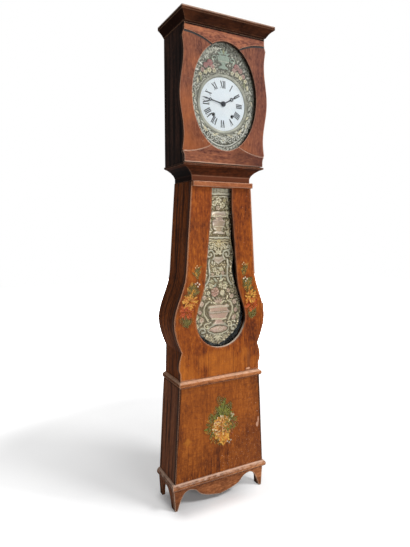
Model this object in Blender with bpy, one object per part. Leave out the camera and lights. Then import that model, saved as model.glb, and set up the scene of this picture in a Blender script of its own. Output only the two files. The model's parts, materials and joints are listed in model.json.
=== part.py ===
"""Comtoise clock in a violin-shaped case: one object per piece, in metres, front towards -Y."""
import math

import bmesh
import bpy
from mathutils import geometry

# Fits between pieces
SEAT = 0.0003
PLAY = 0.0004
DOOR_GAP = 0.0008
SWING_GAP = 0.0015

# Overall
HEIGHT = 2.340
DEPTH = 0.270
BACK = DEPTH / 2

# Boards
BOARD = 0.012
SIDE_BOARD = 0.010
PANEL = 0.014
SKIRT_BOARD = 0.016
DOOR_THICK = 0.020
GLASS_THICK = 0.0025
REBATE_DEPTH = 0.0065
REBATE_LAP = 0.008

# Heights of the case's sections, from the floor up; the trunk takes what the others leave
SKIRT_RISE = 0.1115
FOOT_RISE = 0.0315
BASE_RISE = 0.480
WAIST_RISE = 0.032
NECK_RISE = 0.022
COVE_RISE = 0.054
HOOD_RISE = 0.606
CORNICE_RISE = 0.046
COVE_FILLET = 0.008
FASCIA = 0.015
FOOT_TOP = SKIRT_RISE + FOOT_RISE
WAIST_LOW = FOOT_TOP + BASE_RISE
WAIST_HIGH = WAIST_LOW + WAIST_RISE
HOOD_TOP = HEIGHT - CORNICE_RISE
COVE_HIGH = HOOD_TOP - HOOD_RISE
COVE_LOW = COVE_HIGH - COVE_RISE
TRUNK_TOP = COVE_LOW - NECK_RISE

# Half widths of the sections, and how far their mouldings stand out
HOOD_HALF = 0.2125
CORNICE_OUT = 0.0315
COVE_OUT = 0.0055
NECK_HALF = 0.160
BASE_TOP_HALF = 0.231
WAIST_OUT = 0.007
BASE_LOW_HALF = 0.258
FOOT_OUT = 0.0165
SKIRT_OUT = 0.005
TOE_TAPER = 0.007
CORNICE_HALF = HOOD_HALF + CORNICE_OUT
COVE_HALF = HOOD_HALF + COVE_OUT
WAIST_HALF = BASE_TOP_HALF + WAIST_OUT
FOOT_HALF = BASE_LOW_HALF + FOOT_OUT
SKIRT_HALF = BASE_LOW_HALF + SKIRT_OUT
TOE_HALF = SKIRT_HALF - TOE_TAPER

# Depths of the sections from the back, and how far their mouldings stand forward
TRUNK_DEPTH = 0.195
HOOD_FORWARD = 0.031
SOFFIT_FORWARD = 0.0125
COVE_FORWARD = 0.002
NECK_SETBACK = 0.005
LATH_FORWARD = 0.020
WAIST_FORWARD = 0.016
FOOT_FORWARD = 0.012
SKIRT_SETBACK = 0.005
HOOD_DEPTH = TRUNK_DEPTH + HOOD_FORWARD
SOFFIT_DEPTH = HOOD_DEPTH + SOFFIT_FORWARD
COVE_DEPTH = HOOD_DEPTH + COVE_FORWARD
NECK_DEPTH = TRUNK_DEPTH - NECK_SETBACK
LATH_DEPTH = TRUNK_DEPTH + LATH_FORWARD
WAIST_DEPTH = TRUNK_DEPTH + WAIST_FORWARD
FOOT_DEPTH = TRUNK_DEPTH + FOOT_FORWARD
SKIRT_DEPTH = TRUNK_DEPTH - SKIRT_SETBACK

# Violin outline of the trunk door, with its levels above the waist
TRUNK_TOP_OUT = 0.004
TRUNK_TAPER = 0.068
BELLY_HALF = 0.258
BELLY_LEVEL = 0.290
BELLY_RISE = 0.235
CUSP_HALF = 0.2185
CUSP_LEVEL = 0.142
LOBE_HALF = 0.235
LOBE_LEVEL = 0.070
LOBE_END_LEVEL = 0.040
TRUNK_FOOT_IN = 0.0045
SIDE_FOOT_IN = 0.005
SIDE_INSET = 0.0015
TRUNK_TOP_HALF = NECK_HALF + TRUNK_TOP_OUT
TRUNK_FOOT_HALF = BASE_TOP_HALF - TRUNK_FOOT_IN
SIDE_FOOT_HALF = TRUNK_FOOT_HALF - SIDE_FOOT_IN
BELLY_Z = WAIST_HIGH + BELLY_LEVEL
CUSP_Z = WAIST_HIGH + CUSP_LEVEL
LOBE_Z = WAIST_HIGH + LOBE_LEVEL
LOBE_END_Z = WAIST_HIGH + LOBE_END_LEVEL

# Opening in the trunk door, and the lath across its top
OPEN_TOP_DROP = 0.029
OPEN_TOP_HALF = 0.0555
OPEN_KNEE_DROP = 0.107
OPEN_TAPER = 0.094
OPEN_BELLY_HALF = 0.141
OPEN_RISE = 0.190
OPEN_SILL = 0.146
LATH_HEIGHT = 0.024
LATH_IN = 0.001
OPEN_TOP = TRUNK_TOP - OPEN_TOP_DROP
OPEN_KNEE_Z = TRUNK_TOP - OPEN_KNEE_DROP
OPEN_LOW = WAIST_HIGH + OPEN_SILL
LATH_HALF = TRUNK_TOP_HALF - LATH_IN

# Bowed outline of the hood door, set out from its ends and from the hood's sides
HOOD_SILL = 0.004
BULGE_OUT = 0.023
BITE_OUT = 0.003
BITE_DROP = 0.12225
HORN_OUT = 0.0105
HORN_DROP = 0.05575
BLOCK_OUT = 0.0005
BLOCK_DROP = 0.02825
HOOD_DOOR_LOW = COVE_HIGH + HOOD_SILL
HOOD_DOOR_HIGH = HOOD_TOP - SWING_GAP
HOOD_MID = (HOOD_DOOR_LOW + HOOD_DOOR_HIGH) / 2
HOOD_REACH = (HOOD_DOOR_HIGH - HOOD_DOOR_LOW) / 2
BULGE_HALF = HOOD_HALF + BULGE_OUT
BITE_HALF = HOOD_HALF + BITE_OUT
BITE_RISE = HOOD_REACH - BITE_DROP
HORN_HALF = HOOD_HALF + HORN_OUT
HORN_RISE = HOOD_REACH - HORN_DROP
BLOCK_HALF = HOOD_HALF + BLOCK_OUT
BLOCK_RISE = HOOD_REACH - BLOCK_DROP

# Oval opening of the hood door, and the curved joints of its frame
OVAL_LIFT = 0.00775
OVAL_HALF = 0.173
OVAL_RISE = 0.245
JOINT_DROP = 0.04025
JOINT_RADIUS = 0.300
RAIL_PROUD = 0.002
OVAL_Z = HOOD_MID + OVAL_LIFT
JOINT_RISE = HOOD_REACH - JOINT_DROP

# Lift-off hinges: a pin barrel on the case, a socket barrel on the door
BARREL_RADIUS = 0.0045
BARREL_LENGTH = 0.022
PIN_RADIUS = 0.0025
PIN_LENGTH = 0.016
TANG = 0.0012
TANG_OFFSET = 0.0037
TANG_HEIGHT = 0.014
DOOR_TANG = 0.016
TANG_STOP = 0.003
HOOD_HINGE_RISE = 0.100
TRUNK_HINGE_RISE = 0.035

# Dial and hands
DIAL_DROP = 0.028
DIAL_RADIUS = 0.1235
DIAL_SETBACK = 0.025
DIAL_THICK = 0.002
SURROUND_SETBACK = 0.0015
SURROUND_THICK = 0.0015
SURROUND_LAP = 0.010
RING_INNER = 0.1215
RING_OUTER = 0.137
RING_RISE = 0.004
FIELD_RISE = 0.0025
HAND_THICK = 0.001
HOUR_HUB = 0.010
MINUTE_HUB = 0.0125
HOUR_REACH = 0.085
MINUTE_REACH = 0.115
HOUR_ANGLE = 61.0
MINUTE_ANGLE = -79.0
DIAL_Z = OVAL_Z - DIAL_DROP
DIAL_DEPTH = HOOD_DEPTH - DIAL_SETBACK
SURROUND_DEPTH = DIAL_DEPTH - SURROUND_SETBACK

# Movement cage, its front face set back from the dial
DIAL_STANDOFF = 0.056
CAGE_HALF = 0.105
CAGE_DEPTH = 0.108
CAGE_PLATE = 0.004
CAGE_RISE = 0.102
SEAT_RISE = 0.112
SEAT_THICK = 0.018
SEAT_OUT = 0.001
BAR = 0.007
POST = 0.010
SEAT_TOP = COVE_HIGH + SEAT_RISE
SEAT_HALF = NECK_HALF + SEAT_OUT

# Trains
WIND_X = 0.0505
WIND_DROP = 0.0515
DRUM_RADIUS = 0.025
DRUM_LENGTH = 0.046
FLANGE = 0.003
WIND_ARBOR = 0.0045
WIND_HOLE = 0.0065
GREAT_ARBOR = 0.005
LEAVES = 6
GREAT_TEETH = 72
GREAT_MODULE = 0.0012
CENTRE_TEETH = 60
CENTRE_MODULE = 0.0011
THIRD_TEETH = 72
THIRD_MODULE = 0.00085
ESCAPE_TEETH = 30
ESCAPE_RADIUS = 0.022
ESCAPE_RISE = 0.042
ANCHOR_RISE = 0.078
CANNON_TEETH = 16
TRANSFER_TEETH = 32
MOTION_PINION = 8
MOTION_TEETH = 24
HOUR_TEETH = 32
MOTION_RISE = 0.0216
ADDENDUM = 0.5
DEDENDUM = 0.75
WHEEL_THICK = 0.003
PINION_LENGTH = 0.010
CENTRE_ARBOR = 0.0023
THIRD_ARBOR = 0.0021
ESCAPE_ARBOR = 0.0016
ANCHOR_ARBOR = 0.0025
CANNON_ARBOR = 0.0028
HOUR_TUBE = 0.0052
STUD = 0.002
SIDES = 8
ROUND = 14

# Pendulum: half width of its embossed front, and drop below the trunk's top, from top to tip
SWING_CLEARANCE = 0.014
ROD_HALF = 0.0045
ROD_THICK = 0.004
ROD_DROP = 0.712
BOB_SETBACK = 0.0415
BOB_EDGE = 0.002
BOB_RISE = 0.0085
BOB_HALF = 0.136
BOB_OUTLINE = (
    (0.073, 0.010), (0.078, 0.122), (0.077, 0.222), (0.079, 0.281), (0.092, 0.350), (0.083, 0.433),
    (0.112, 0.523), (BOB_HALF, 0.617), (0.119, 0.719), (0.057, 0.780), (0.004, 0.805),
)
ROD_END = TRUNK_TOP - ROD_DROP
BOB_BACK_DEPTH = TRUNK_DEPTH - BOB_SETBACK

# Weights and lines, at the end of their run
WEIGHT_RADIUS = 0.036
WEIGHT_LOW = 0.340
WEIGHT_BODY = 0.190
HOOK_LENGTH = 0.025
LINE_RADIUS = 0.0015

# Bell and hammer, on top of the cage
BELL_RADIUS = 0.048
BELL_HEIGHT = 0.034
BELL_LIFT = 0.016
BELL_SHELL = 0.003
HAMMER_X = 0.076
HAMMER_PIN = 0.003
HAMMER_THICK = 0.008

# Positions that follow from the sizes above
HOOD_FRONT = BACK - HOOD_DEPTH
HOOD_DOOR_BACK = HOOD_FRONT + DOOR_THICK
TRUNK_FRONT = BACK - TRUNK_DEPTH
TRUNK_DOOR_BACK = TRUNK_FRONT + DOOR_THICK
BOARD_FRONT = BACK - BOARD
NECK_INNER = NECK_HALF - PANEL
WAIST_INNER = SIDE_FOOT_HALF - SIDE_INSET - SIDE_BOARD - 0.002
DIAL_FRONT = BACK - DIAL_DEPTH
SURROUND_BACK = BACK - SURROUND_DEPTH + SURROUND_THICK
DIAL_DOME = SURROUND_BACK + SEAT - DIAL_FRONT
CAGE_FRONT = DIAL_FRONT + DIAL_STANDOFF
CAGE_REAR = CAGE_FRONT + CAGE_DEPTH
CAGE_TOP = DIAL_Z + CAGE_RISE
CAGE_LOW = SEAT_TOP + SEAT
TRUNK_DOOR_TOP = TRUNK_TOP - SWING_GAP
TRUNK_DOOR_LOW = WAIST_HIGH + SWING_GAP

HOUR_HAND_FRONT = DIAL_FRONT - 0.003
MINUTE_HAND_FRONT = HOUR_HAND_FRONT - HAND_THICK - 0.0013
CANNON_FRONT = CAGE_FRONT - 0.032
MOTION_FRONT = CANNON_FRONT - 0.0065
HOUR_FRONT = MOTION_FRONT - 0.0085
ESCAPE_FRONT = CAGE_FRONT + 0.014
THIRD_FRONT = ESCAPE_FRONT + 0.008
DRUM_FRONT = CAGE_FRONT + 0.028
DRUM_REAR = DRUM_FRONT + DRUM_LENGTH + 2 * FLANGE
GREAT_FRONT = DRUM_REAR + 0.002
CENTRE_FRONT = GREAT_FRONT + 0.010
LINE_Y = DRUM_FRONT + FLANGE + DRUM_LENGTH / 2
LINE_X = WIND_X + DRUM_RADIUS + LINE_RADIUS + SEAT
WEIGHT_TOP = WEIGHT_LOW + WEIGHT_BODY + HOOK_LENGTH

GOING = (WIND_X, DIAL_Z - WIND_DROP)
STRIKE = (-WIND_X, DIAL_Z - WIND_DROP)
CENTRE = (WIND_X, GOING[1] + GREAT_MODULE * (GREAT_TEETH + LEAVES) / 2)
PINS = (-WIND_X, CENTRE[1])
ESCAPE = (0.0, DIAL_Z + ESCAPE_RISE)
ANCHOR = (0.0, DIAL_Z + ANCHOR_RISE)
CANNON = (0.0, DIAL_Z)
MOTION = (0.0, DIAL_Z + MOTION_RISE)
CANNON_MODULE = 2 * math.dist(CANNON, CENTRE) / (CANNON_TEETH + TRANSFER_TEETH)
MOTION_MODULE = 2 * MOTION_RISE / (MOTION_PINION + MOTION_TEETH)
HOUR_MODULE = 2 * MOTION_RISE / (MOTION_PINION + HOUR_TEETH)

HOOD_AXIS = (HOOD_HALF + BARREL_RADIUS + SEAT, HOOD_DOOR_BACK)
TRUNK_AXIS = (BELLY_HALF + BARREL_RADIUS + SEAT, TRUNK_DOOR_BACK)


def third_centre():
    """Place of the third arbor, in mesh with both the centre wheel and the escape pinion."""
    reach = CENTRE_MODULE * (CENTRE_TEETH + LEAVES) / 2
    onward = THIRD_MODULE * (THIRD_TEETH + LEAVES) / 2
    span = math.dist(CENTRE, ESCAPE)
    along = (span * span + reach * reach - onward * onward) / (2 * span)
    aside = math.sqrt(max(reach * reach - along * along, 0.0))
    ux = (ESCAPE[0] - CENTRE[0]) / span
    uz = (ESCAPE[1] - CENTRE[1]) / span
    return CENTRE[0] + ux * along + uz * aside, CENTRE[1] + uz * along - ux * aside


THIRD = third_centre()


# Outlines

def spread(start, end, count):
    return [start + (end - start) * i / count for i in range(count + 1)]


def circle(radius, count=ROUND, centre=(0.0, 0.0), turn=0.0):
    angles = [turn + 2 * math.pi * i / count for i in range(count)]
    return [(centre[0] + radius * math.cos(a), centre[1] + radius * math.sin(a)) for a in angles]


def bore(radius, count=SIDES):
    """Round hole whose flats keep clear of a shaft by the play."""
    return circle((radius + PLAY) / math.cos(math.pi / count), count)


def rectangle(low_u, low_v, high_u, high_v):
    return [(low_u, low_v), (high_u, low_v), (high_u, high_v), (low_u, high_v)]


def mirrored(points):
    """Right-hand half outline, from top to bottom, closed with its mirror image."""
    left = [(-x, z) for x, z in reversed(points) if abs(x) > 1e-9]
    return points + left


def curve_through(points, count):
    """Smooth curve through a few points, ends included."""
    ends = [points[0]] + list(points) + [points[-1]]
    line = []
    for a, b, c, d in zip(ends, ends[1:], ends[2:], ends[3:]):
        for step in range(count):
            t = step / count
            weights = (
                -0.5 * t + t * t - 0.5 * t ** 3,
                1 - 2.5 * t * t + 1.5 * t ** 3,
                0.5 * t + 2 * t * t - 1.5 * t ** 3,
                -0.5 * t * t + 0.5 * t ** 3,
            )
            line.append(tuple(sum(w * p[k] for w, p in zip(weights, (a, b, c, d))) for k in (0, 1)))
    line.append(tuple(points[-1]))
    return line


def inset(points, distance):
    """Open outline moved to its left-hand side, seen along its run from top to bottom on the right."""
    moved = []
    for i, (x, z) in enumerate(points):
        before = points[max(i - 1, 0)]
        after = points[min(i + 1, len(points) - 1)]
        dx, dz = after[0] - before[0], after[1] - before[1]
        length = math.hypot(dx, dz)
        moved.append((x + distance * dz / length, z - distance * dx / length))
    return moved


def trunk_half(z):
    """Half width of the violin outline of the trunk door."""
    if z >= BELLY_Z:
        line = TRUNK_TOP_HALF + TRUNK_TAPER * (TRUNK_TOP - z)
        swell = BELLY_HALF - TRUNK_TOP_HALF - TRUNK_TAPER * (TRUNK_TOP - BELLY_Z)
        rise = min((z - BELLY_Z) / BELLY_RISE, 1.0)
        return line + swell * (1 + math.cos(math.pi * rise)) / 2
    if z >= CUSP_Z:
        turn = math.pi / 2 * (BELLY_Z - z) / (BELLY_Z - CUSP_Z)
        return BELLY_HALF - (BELLY_HALF - CUSP_HALF) * (1 - math.cos(turn))
    if z >= LOBE_Z:
        turn = math.pi / 2 * (CUSP_Z - z) / (CUSP_Z - LOBE_Z)
        return CUSP_HALF + (LOBE_HALF - CUSP_HALF) * math.sin(turn)
    turn = math.pi / 2 * min((LOBE_Z - z) / (LOBE_Z - LOBE_END_Z), 1.0)
    return TRUNK_FOOT_HALF + (LOBE_HALF - TRUNK_FOOT_HALF) * math.cos(turn)


def side_half(z):
    """Half width of the bent trunk sides, which run straight below the cusp."""
    if z >= CUSP_Z:
        return trunk_half(z) - SIDE_INSET
    share = (CUSP_Z - z) / (CUSP_Z - WAIST_HIGH)
    return CUSP_HALF + (SIDE_FOOT_HALF - CUSP_HALF) * share - SIDE_INSET


def opening_half(z):
    """Half width of the violin opening."""
    if z < BELLY_Z:
        share = (BELLY_Z - z) / (BELLY_Z - OPEN_LOW)
        return OPEN_BELLY_HALF * math.sqrt(max(1 - share * share, 0.0))
    line = OPEN_TOP_HALF + OPEN_TAPER * max(OPEN_KNEE_Z - z, 0.0)
    swell = OPEN_BELLY_HALF - OPEN_TOP_HALF - OPEN_TAPER * (OPEN_KNEE_Z - BELLY_Z)
    rise = min((z - BELLY_Z) / OPEN_RISE, 1.0)
    return line + swell * (1 + math.cos(math.pi * rise)) / 2


def base_half(z):
    share = (WAIST_LOW - z) / (WAIST_LOW - FOOT_TOP)
    return BASE_TOP_HALF + (BASE_LOW_HALF - BASE_TOP_HALF) * share


def hood_half(z):
    """Half width of the bowed hood door: bulge, bite, horn and end block."""
    rise = abs(z - HOOD_MID)
    if rise <= BITE_RISE:
        return BITE_HALF + (BULGE_HALF - BITE_HALF) * math.cos(math.pi / 2 * rise / BITE_RISE) ** 2
    if rise <= HORN_RISE:
        turn = math.pi / 2 * (rise - BITE_RISE) / (HORN_RISE - BITE_RISE)
        return BITE_HALF + (HORN_HALF - BITE_HALF) * (1 - math.cos(turn))
    share = min((rise - HORN_RISE) / (BLOCK_RISE - HORN_RISE), 1.0)
    return HORN_HALF + (BLOCK_HALF - HORN_HALF) * share


def side_line():
    """Right-hand line of the bent side, from top to bottom."""
    levels = [TRUNK_TOP] + spread(BELLY_Z + BELLY_RISE, BELLY_Z, 10)
    levels += spread(BELLY_Z, CUSP_Z, 6)[1:] + [WAIST_HIGH + SEAT]
    return [(side_half(z), z) for z in levels]


def trunk_door_outline():
    levels = [TRUNK_DOOR_TOP] + spread(BELLY_Z + BELLY_RISE, BELLY_Z, 10)
    levels += spread(BELLY_Z, CUSP_Z, 6)[1:] + spread(CUSP_Z, LOBE_Z, 4)[1:]
    levels += spread(LOBE_Z, LOBE_END_Z, 3)[1:] + [TRUNK_DOOR_LOW]
    return mirrored([(trunk_half(z), z) for z in levels])


def opening_outline(margin):
    """Violin opening, made larger all round by a margin."""
    levels = [OPEN_TOP, OPEN_KNEE_Z] + spread(BELLY_Z + OPEN_RISE, BELLY_Z, 8)
    line = [(opening_half(z), z) for z in levels]
    drop = BELLY_Z - OPEN_LOW
    turns = spread(0, math.pi / 2, 8)[1:]
    line += [(OPEN_BELLY_HALF * math.cos(a), BELLY_Z - drop * math.sin(a)) for a in turns]
    if margin:
        line = inset(line, -margin)
        line[0] = (line[0][0], OPEN_TOP + margin)
        line[-1] = (0.0, OPEN_LOW - margin)
    return mirrored(line)


def oval_outline(margin, count=40):
    wide, tall = OVAL_HALF + margin, OVAL_RISE + margin
    return [(x * wide, OVAL_Z + z * tall) for x, z in circle(1.0, count)]


# Building bodies

def place_y(centre=(0.0, 0.0)):
    """Outline across X and Z, run along Y."""
    return lambda u, v, w: (centre[0] + u, w, centre[1] + v)


def place_x(u, v, w):
    """Outline across Y and Z, run along X."""
    return w, u, v


def place_z(centre=(0.0, 0.0)):
    """Outline across X and Y, run along Z."""
    return lambda u, v, w: (centre[0] + u, centre[1] + v, w)


def add_ring(bm, loop, level, to_world):
    return [bm.verts.new(to_world(u, v, level)) for u, v in loop]


def add_fill(bm, rings):
    """Flat faces between an outer ring and the rings inside it."""
    if len(rings) == 1:
        bm.faces.new(rings[0])
        return
    flat = [vert for ring in rings for vert in ring]
    triangles = geometry.tessellate_polygon([[vert.co for vert in ring] for ring in rings])
    faces = [bm.faces.new([flat[i] for i in triangle]) for triangle in triangles]
    inner = [edge for edge in {e for face in faces for e in face.edges} if len(edge.link_faces) == 2]
    inner = [edge for edge in inner if set(edge.link_faces) <= set(faces)]
    bmesh.ops.beautify_fill(bm, faces=faces, edges=inner)


def add_walls(bm, low, high):
    for i, vert in enumerate(low):
        j = (i + 1) % len(low)
        bm.faces.new((vert, low[j], high[j], high[i]))


def extent(ring):
    return max((vert.co - ring[len(ring) // 2].co).length for vert in ring)


def stack(sections, to_world):
    """One body of prisms that follow on along an axis; each section is (loops, start, end)."""
    bm = bmesh.new()
    below = []
    for loops, start, end in sections:
        known = {id(loop): ring for loop, ring in below}
        low = [known.get(id(loop)) or add_ring(bm, loop, start, to_world) for loop in loops]
        here = {id(loop) for loop in loops}
        step = [ring for loop, ring in below if id(loop) not in here]
        step += [ring for loop, ring in zip(loops, low) if id(loop) not in known]
        add_fill(bm, sorted(step, key=extent, reverse=True))
        high = [add_ring(bm, loop, end, to_world) for loop in loops]
        for low_ring, high_ring in zip(low, high):
            add_walls(bm, low_ring, high_ring)
        below = list(zip(loops, high))
    add_fill(bm, [ring for _, ring in below])
    return bm


def prism(loops, start, end, to_world):
    return stack([(loops, start, end)], to_world)


def box(low, high):
    return prism([rectangle(low[0], low[1], high[0], high[1])], low[2], high[2], place_z())


def turned(profile, to_world, count=ROUND, hollow=False):
    """Body of revolution through (radius, level) points; a hollow one closes on itself."""
    bm = bmesh.new()
    rings = []
    for radius, level in profile:
        loop = circle(radius, count) if radius else [(0.0, 0.0)]
        rings.append(add_ring(bm, loop, level, to_world))
    pairs = list(zip(rings, rings[1:]))
    if hollow:
        pairs.append((rings[-1], rings[0]))
    for low, high in pairs:
        if len(low) > 1 and len(high) > 1:
            add_walls(bm, low, high)
            continue
        tip, ring = (low[0], high) if len(low) == 1 else (high[0], low)
        for i, vert in enumerate(ring):
            bm.faces.new((tip, vert, ring[(i + 1) % len(ring)]))
    return bm


def frame(section):
    """Moulding round left side, front and right side; the section is (half width, depth, height)."""
    bm = bmesh.new()
    runs = []
    for half, depth, level in section:
        corners = ((-half, BACK), (-half, BACK - depth), (half, BACK - depth), (half, BACK))
        runs.append([bm.verts.new((x, y, level)) for x, y in corners])
    for low, high in zip(runs, runs[1:] + runs[:1]):
        for i in range(3):
            bm.faces.new((low[i], low[i + 1], high[i + 1], high[i]))
    for end in (0, 3):
        add_fill(bm, [[run[end] for run in runs]])
    return bm


def finish(name, colour, roughness, metallic):
    material = bpy.data.materials.new(name)
    material.use_nodes = True
    shader = material.node_tree.nodes["Principled BSDF"]
    shader.inputs["Base Color"].default_value = (*colour, 1.0)
    shader.inputs["Roughness"].default_value = roughness
    shader.inputs["Metallic"].default_value = metallic
    return material


def piece(name, bm, material, pivot=(0.0, 0.0, 0.0), smooth=False):
    """Closed body as a named object whose origin lies on its pivot."""
    bmesh.ops.translate(bm, verts=bm.verts, vec=[-c for c in pivot])
    bmesh.ops.recalc_face_normals(bm, faces=bm.faces)
    mesh = bpy.data.meshes.new(name)
    bm.to_mesh(mesh)
    bm.free()
    if smooth:
        mesh.shade_smooth()
        mesh.set_sharp_from_angle(angle=math.radians(35))
    mesh.materials.append(material)
    obj = bpy.data.objects.new(name, mesh)
    obj.location = pivot
    bpy.context.scene.collection.objects.link(obj)
    return obj


def merged(bodies):
    """Bodies that stand apart from each other, as one mesh."""
    whole = bodies[0]
    for bm in bodies[1:]:
        known = {vert: whole.verts.new(vert.co) for vert in bm.verts}
        for face in bm.faces:
            whole.faces.new([known[vert] for vert in face.verts])
        bm.free()
    return whole


def combine(obj, bodies, operation):
    """Join bodies to an object, or cut them out of it."""
    tools = [piece(f"{obj.name}_tool_{i}", bm, obj.data.materials[0]) for i, bm in enumerate(bodies)]
    for tool in tools:
        modifier = obj.modifiers.new(tool.name, "BOOLEAN")
        modifier.object = tool
        modifier.operation = operation
        modifier.solver = "EXACT"
    graph = bpy.context.evaluated_depsgraph_get()
    mesh = bpy.data.meshes.new_from_object(obj.evaluated_get(graph))
    obj.modifiers.clear()
    obj.data = mesh
    for tool in tools:
        bpy.data.objects.remove(tool)
    return obj


# Case

def case_frames(wood):
    cove = [(0.0, 0.0), (0.12, 0.30), (0.37, 0.61), (0.68, 0.85), (1.0, 1.0)]
    neck = [(NECK_INNER, NECK_DEPTH - PANEL, TRUNK_TOP + SEAT), (NECK_HALF, NECK_DEPTH, TRUNK_TOP + SEAT)]
    rise = COVE_HIGH - COVE_FILLET - COVE_LOW
    for out, up in cove:
        half = NECK_HALF + (COVE_HALF - NECK_HALF) * out
        depth = NECK_DEPTH + (COVE_DEPTH - NECK_DEPTH) * out
        neck.append((half, depth, COVE_LOW + rise * up))
    neck += [(COVE_HALF, COVE_DEPTH, COVE_HIGH), (NECK_INNER, NECK_DEPTH - PANEL, COVE_HIGH)]
    piece("neck_cove", frame(neck), wood)

    inner = (HOOD_HALF + SEAT, HOOD_DEPTH + SEAT)
    fascia_low = HEIGHT - FASCIA
    cornice = [(*inner, HOOD_TOP), (HOOD_HALF + 0.001, SOFFIT_DEPTH, HOOD_TOP)]
    for out, up in ((0.35, 0.48), (0.68, 0.80), (0.94, 1.0)):
        half = HOOD_HALF + (CORNICE_HALF - HOOD_HALF) * out
        depth = SOFFIT_DEPTH + (DEPTH - SOFFIT_DEPTH) * out
        cornice.append((half, depth, HOOD_TOP + (fascia_low - HOOD_TOP) * up))
    cornice += [(CORNICE_HALF, DEPTH, fascia_low), (CORNICE_HALF, DEPTH, HEIGHT), (*inner, HEIGHT)]
    piece("cornice", frame(cornice), wood)

    radius = WAIST_RISE / 2
    waist = [(WAIST_INNER, TRUNK_DEPTH - PANEL, WAIST_LOW)]
    for turn in spread(-math.pi / 2, math.pi / 2, 6):
        out = radius * (math.cos(turn) - 1)
        waist.append((WAIST_HALF + out, WAIST_DEPTH + out, WAIST_LOW + radius * (1 + math.sin(turn))))
    waist.append((WAIST_INNER, TRUNK_DEPTH - PANEL, WAIST_HIGH))
    piece("waist_bead", frame(waist), wood)

    inner = (BASE_LOW_HALF - 0.022, TRUNK_DEPTH - PANEL - 0.004)
    foot = [(*inner, SKIRT_RISE)]
    for out, up in ((0.006, 0.0), (0.0, 0.22), (0.0, 0.60), (0.005, 0.86), (0.013, 1.0)):
        foot.append((FOOT_HALF - out, FOOT_DEPTH - out, SKIRT_RISE + FOOT_RISE * up))
    foot.append((*inner, FOOT_TOP))
    piece("foot_moulding", frame(foot), wood)


def back_board(wood):
    half = HOOD_HALF - BOARD - SEAT
    line = [(half, HOOD_TOP - SEAT), (half, COVE_HIGH + SEAT)]
    line += [(NECK_INNER - SEAT, COVE_HIGH + SEAT), (NECK_INNER - SEAT, TRUNK_TOP)]
    line += inset(side_line(), SIDE_BOARD + SEAT)
    line += [(WAIST_INNER - SEAT, WAIST_HIGH + SEAT), (WAIST_INNER - SEAT, WAIST_LOW - SEAT)]
    for level in (WAIST_LOW - SEAT, FOOT_TOP + SEAT):
        line.append((base_half(level) - BOARD - SEAT, level))
    piece("back_board", prism([mirrored(line)], BOARD_FRONT, BACK, place_y()), wood)


def hood_case(wood):
    inner = HOOD_HALF - BOARD
    front = HOOD_DOOR_BACK + DOOR_GAP
    low, high = COVE_HIGH + SEAT, HOOD_TOP - SEAT
    piece("hood_side_left", box((-HOOD_HALF, front, low), (-inner, BACK, high)), wood)
    right = piece("hood_side_right", box((inner, front, low), (HOOD_HALF, BACK, high)), wood)
    end = inner + TANG_STOP
    combine(right, [case_mortise(HOOD_AXIS, z, end) for z in hood_hinge_levels()], "DIFFERENCE")
    roof = box((-HOOD_HALF, HOOD_FRONT, HOOD_TOP), (HOOD_HALF, BACK, HOOD_TOP + PANEL))
    piece("roof_board", roof, wood)


def trunk_case(wood):
    outer = side_line()
    loop = outer + list(reversed(inset(outer, SIDE_BOARD)))
    front = TRUNK_DOOR_BACK + DOOR_GAP
    right = piece("trunk_side_right", prism([loop], front, BACK, place_y()), wood)
    cuts = [case_mortise(TRUNK_AXIS, z, trunk_tang_end(z)) for z in trunk_hinge_levels()]
    combine(right, cuts, "DIFFERENCE")
    piece("trunk_side_left", prism([[(-x, z) for x, z in loop]], front, BACK, place_y()), wood)


def base_case(wood):
    low, high = FOOT_TOP + SEAT, WAIST_LOW - SEAT
    panel_back = TRUNK_FRONT + PANEL
    front = mirrored([(base_half(high), high), (base_half(low), low)])
    piece("base_front_panel", prism([front], TRUNK_FRONT, panel_back, place_y()), wood)
    for name, side in (("left", -1), ("right", 1)):
        loop = [(side * base_half(high), high), (side * base_half(low), low)]
        loop += [(side * (x - BOARD), z) for x, z in ((base_half(low), low), (base_half(high), high))]
        piece(f"base_side_{name}", prism([loop], panel_back + SEAT, BACK, place_y()), wood)


def skirts(wood):
    top = SKIRT_RISE - SEAT
    arch = [(0.243, 0.0), (0.224, 0.050), (0.205, 0.082), (0.176, 0.0935), (0.140, 0.081), (0.114, 0.055)]
    arch += [(0.066, 0.036), (0.0, 0.023)]
    front = BACK - SKIRT_DEPTH
    loop = mirrored([(SKIRT_HALF, top), (TOE_HALF, 0.0)] + curve_through(arch, 3))
    piece("skirt_front", prism([loop], front, front + SKIRT_BOARD, place_y()), wood)

    start = front + SKIRT_BOARD + SEAT
    span = BACK - start
    rise = [(0.16, 0.0), (0.22, 0.050), (0.33, 0.085), (0.50, 0.094)]
    cut = rise + [(1.0 - along, z) for along, z in reversed(rise[:-1])]
    loop = [(BACK, top), (start, top), (start, 0.0)]
    loop += curve_through([(start + span * share, z) for share, z in cut], 3) + [(BACK, 0.0)]
    for name, side in (("left", -1), ("right", 1)):
        bm = prism([loop], -SKIRT_BOARD / 2, SKIRT_BOARD / 2, place_x)
        for vert in bm.verts:
            lean = TOE_HALF + (SKIRT_HALF - TOE_HALF) * vert.co.z / top
            vert.co.x += side * (lean - SKIRT_BOARD / 2)
        piece(f"skirt_{name}", bm, wood)


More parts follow.
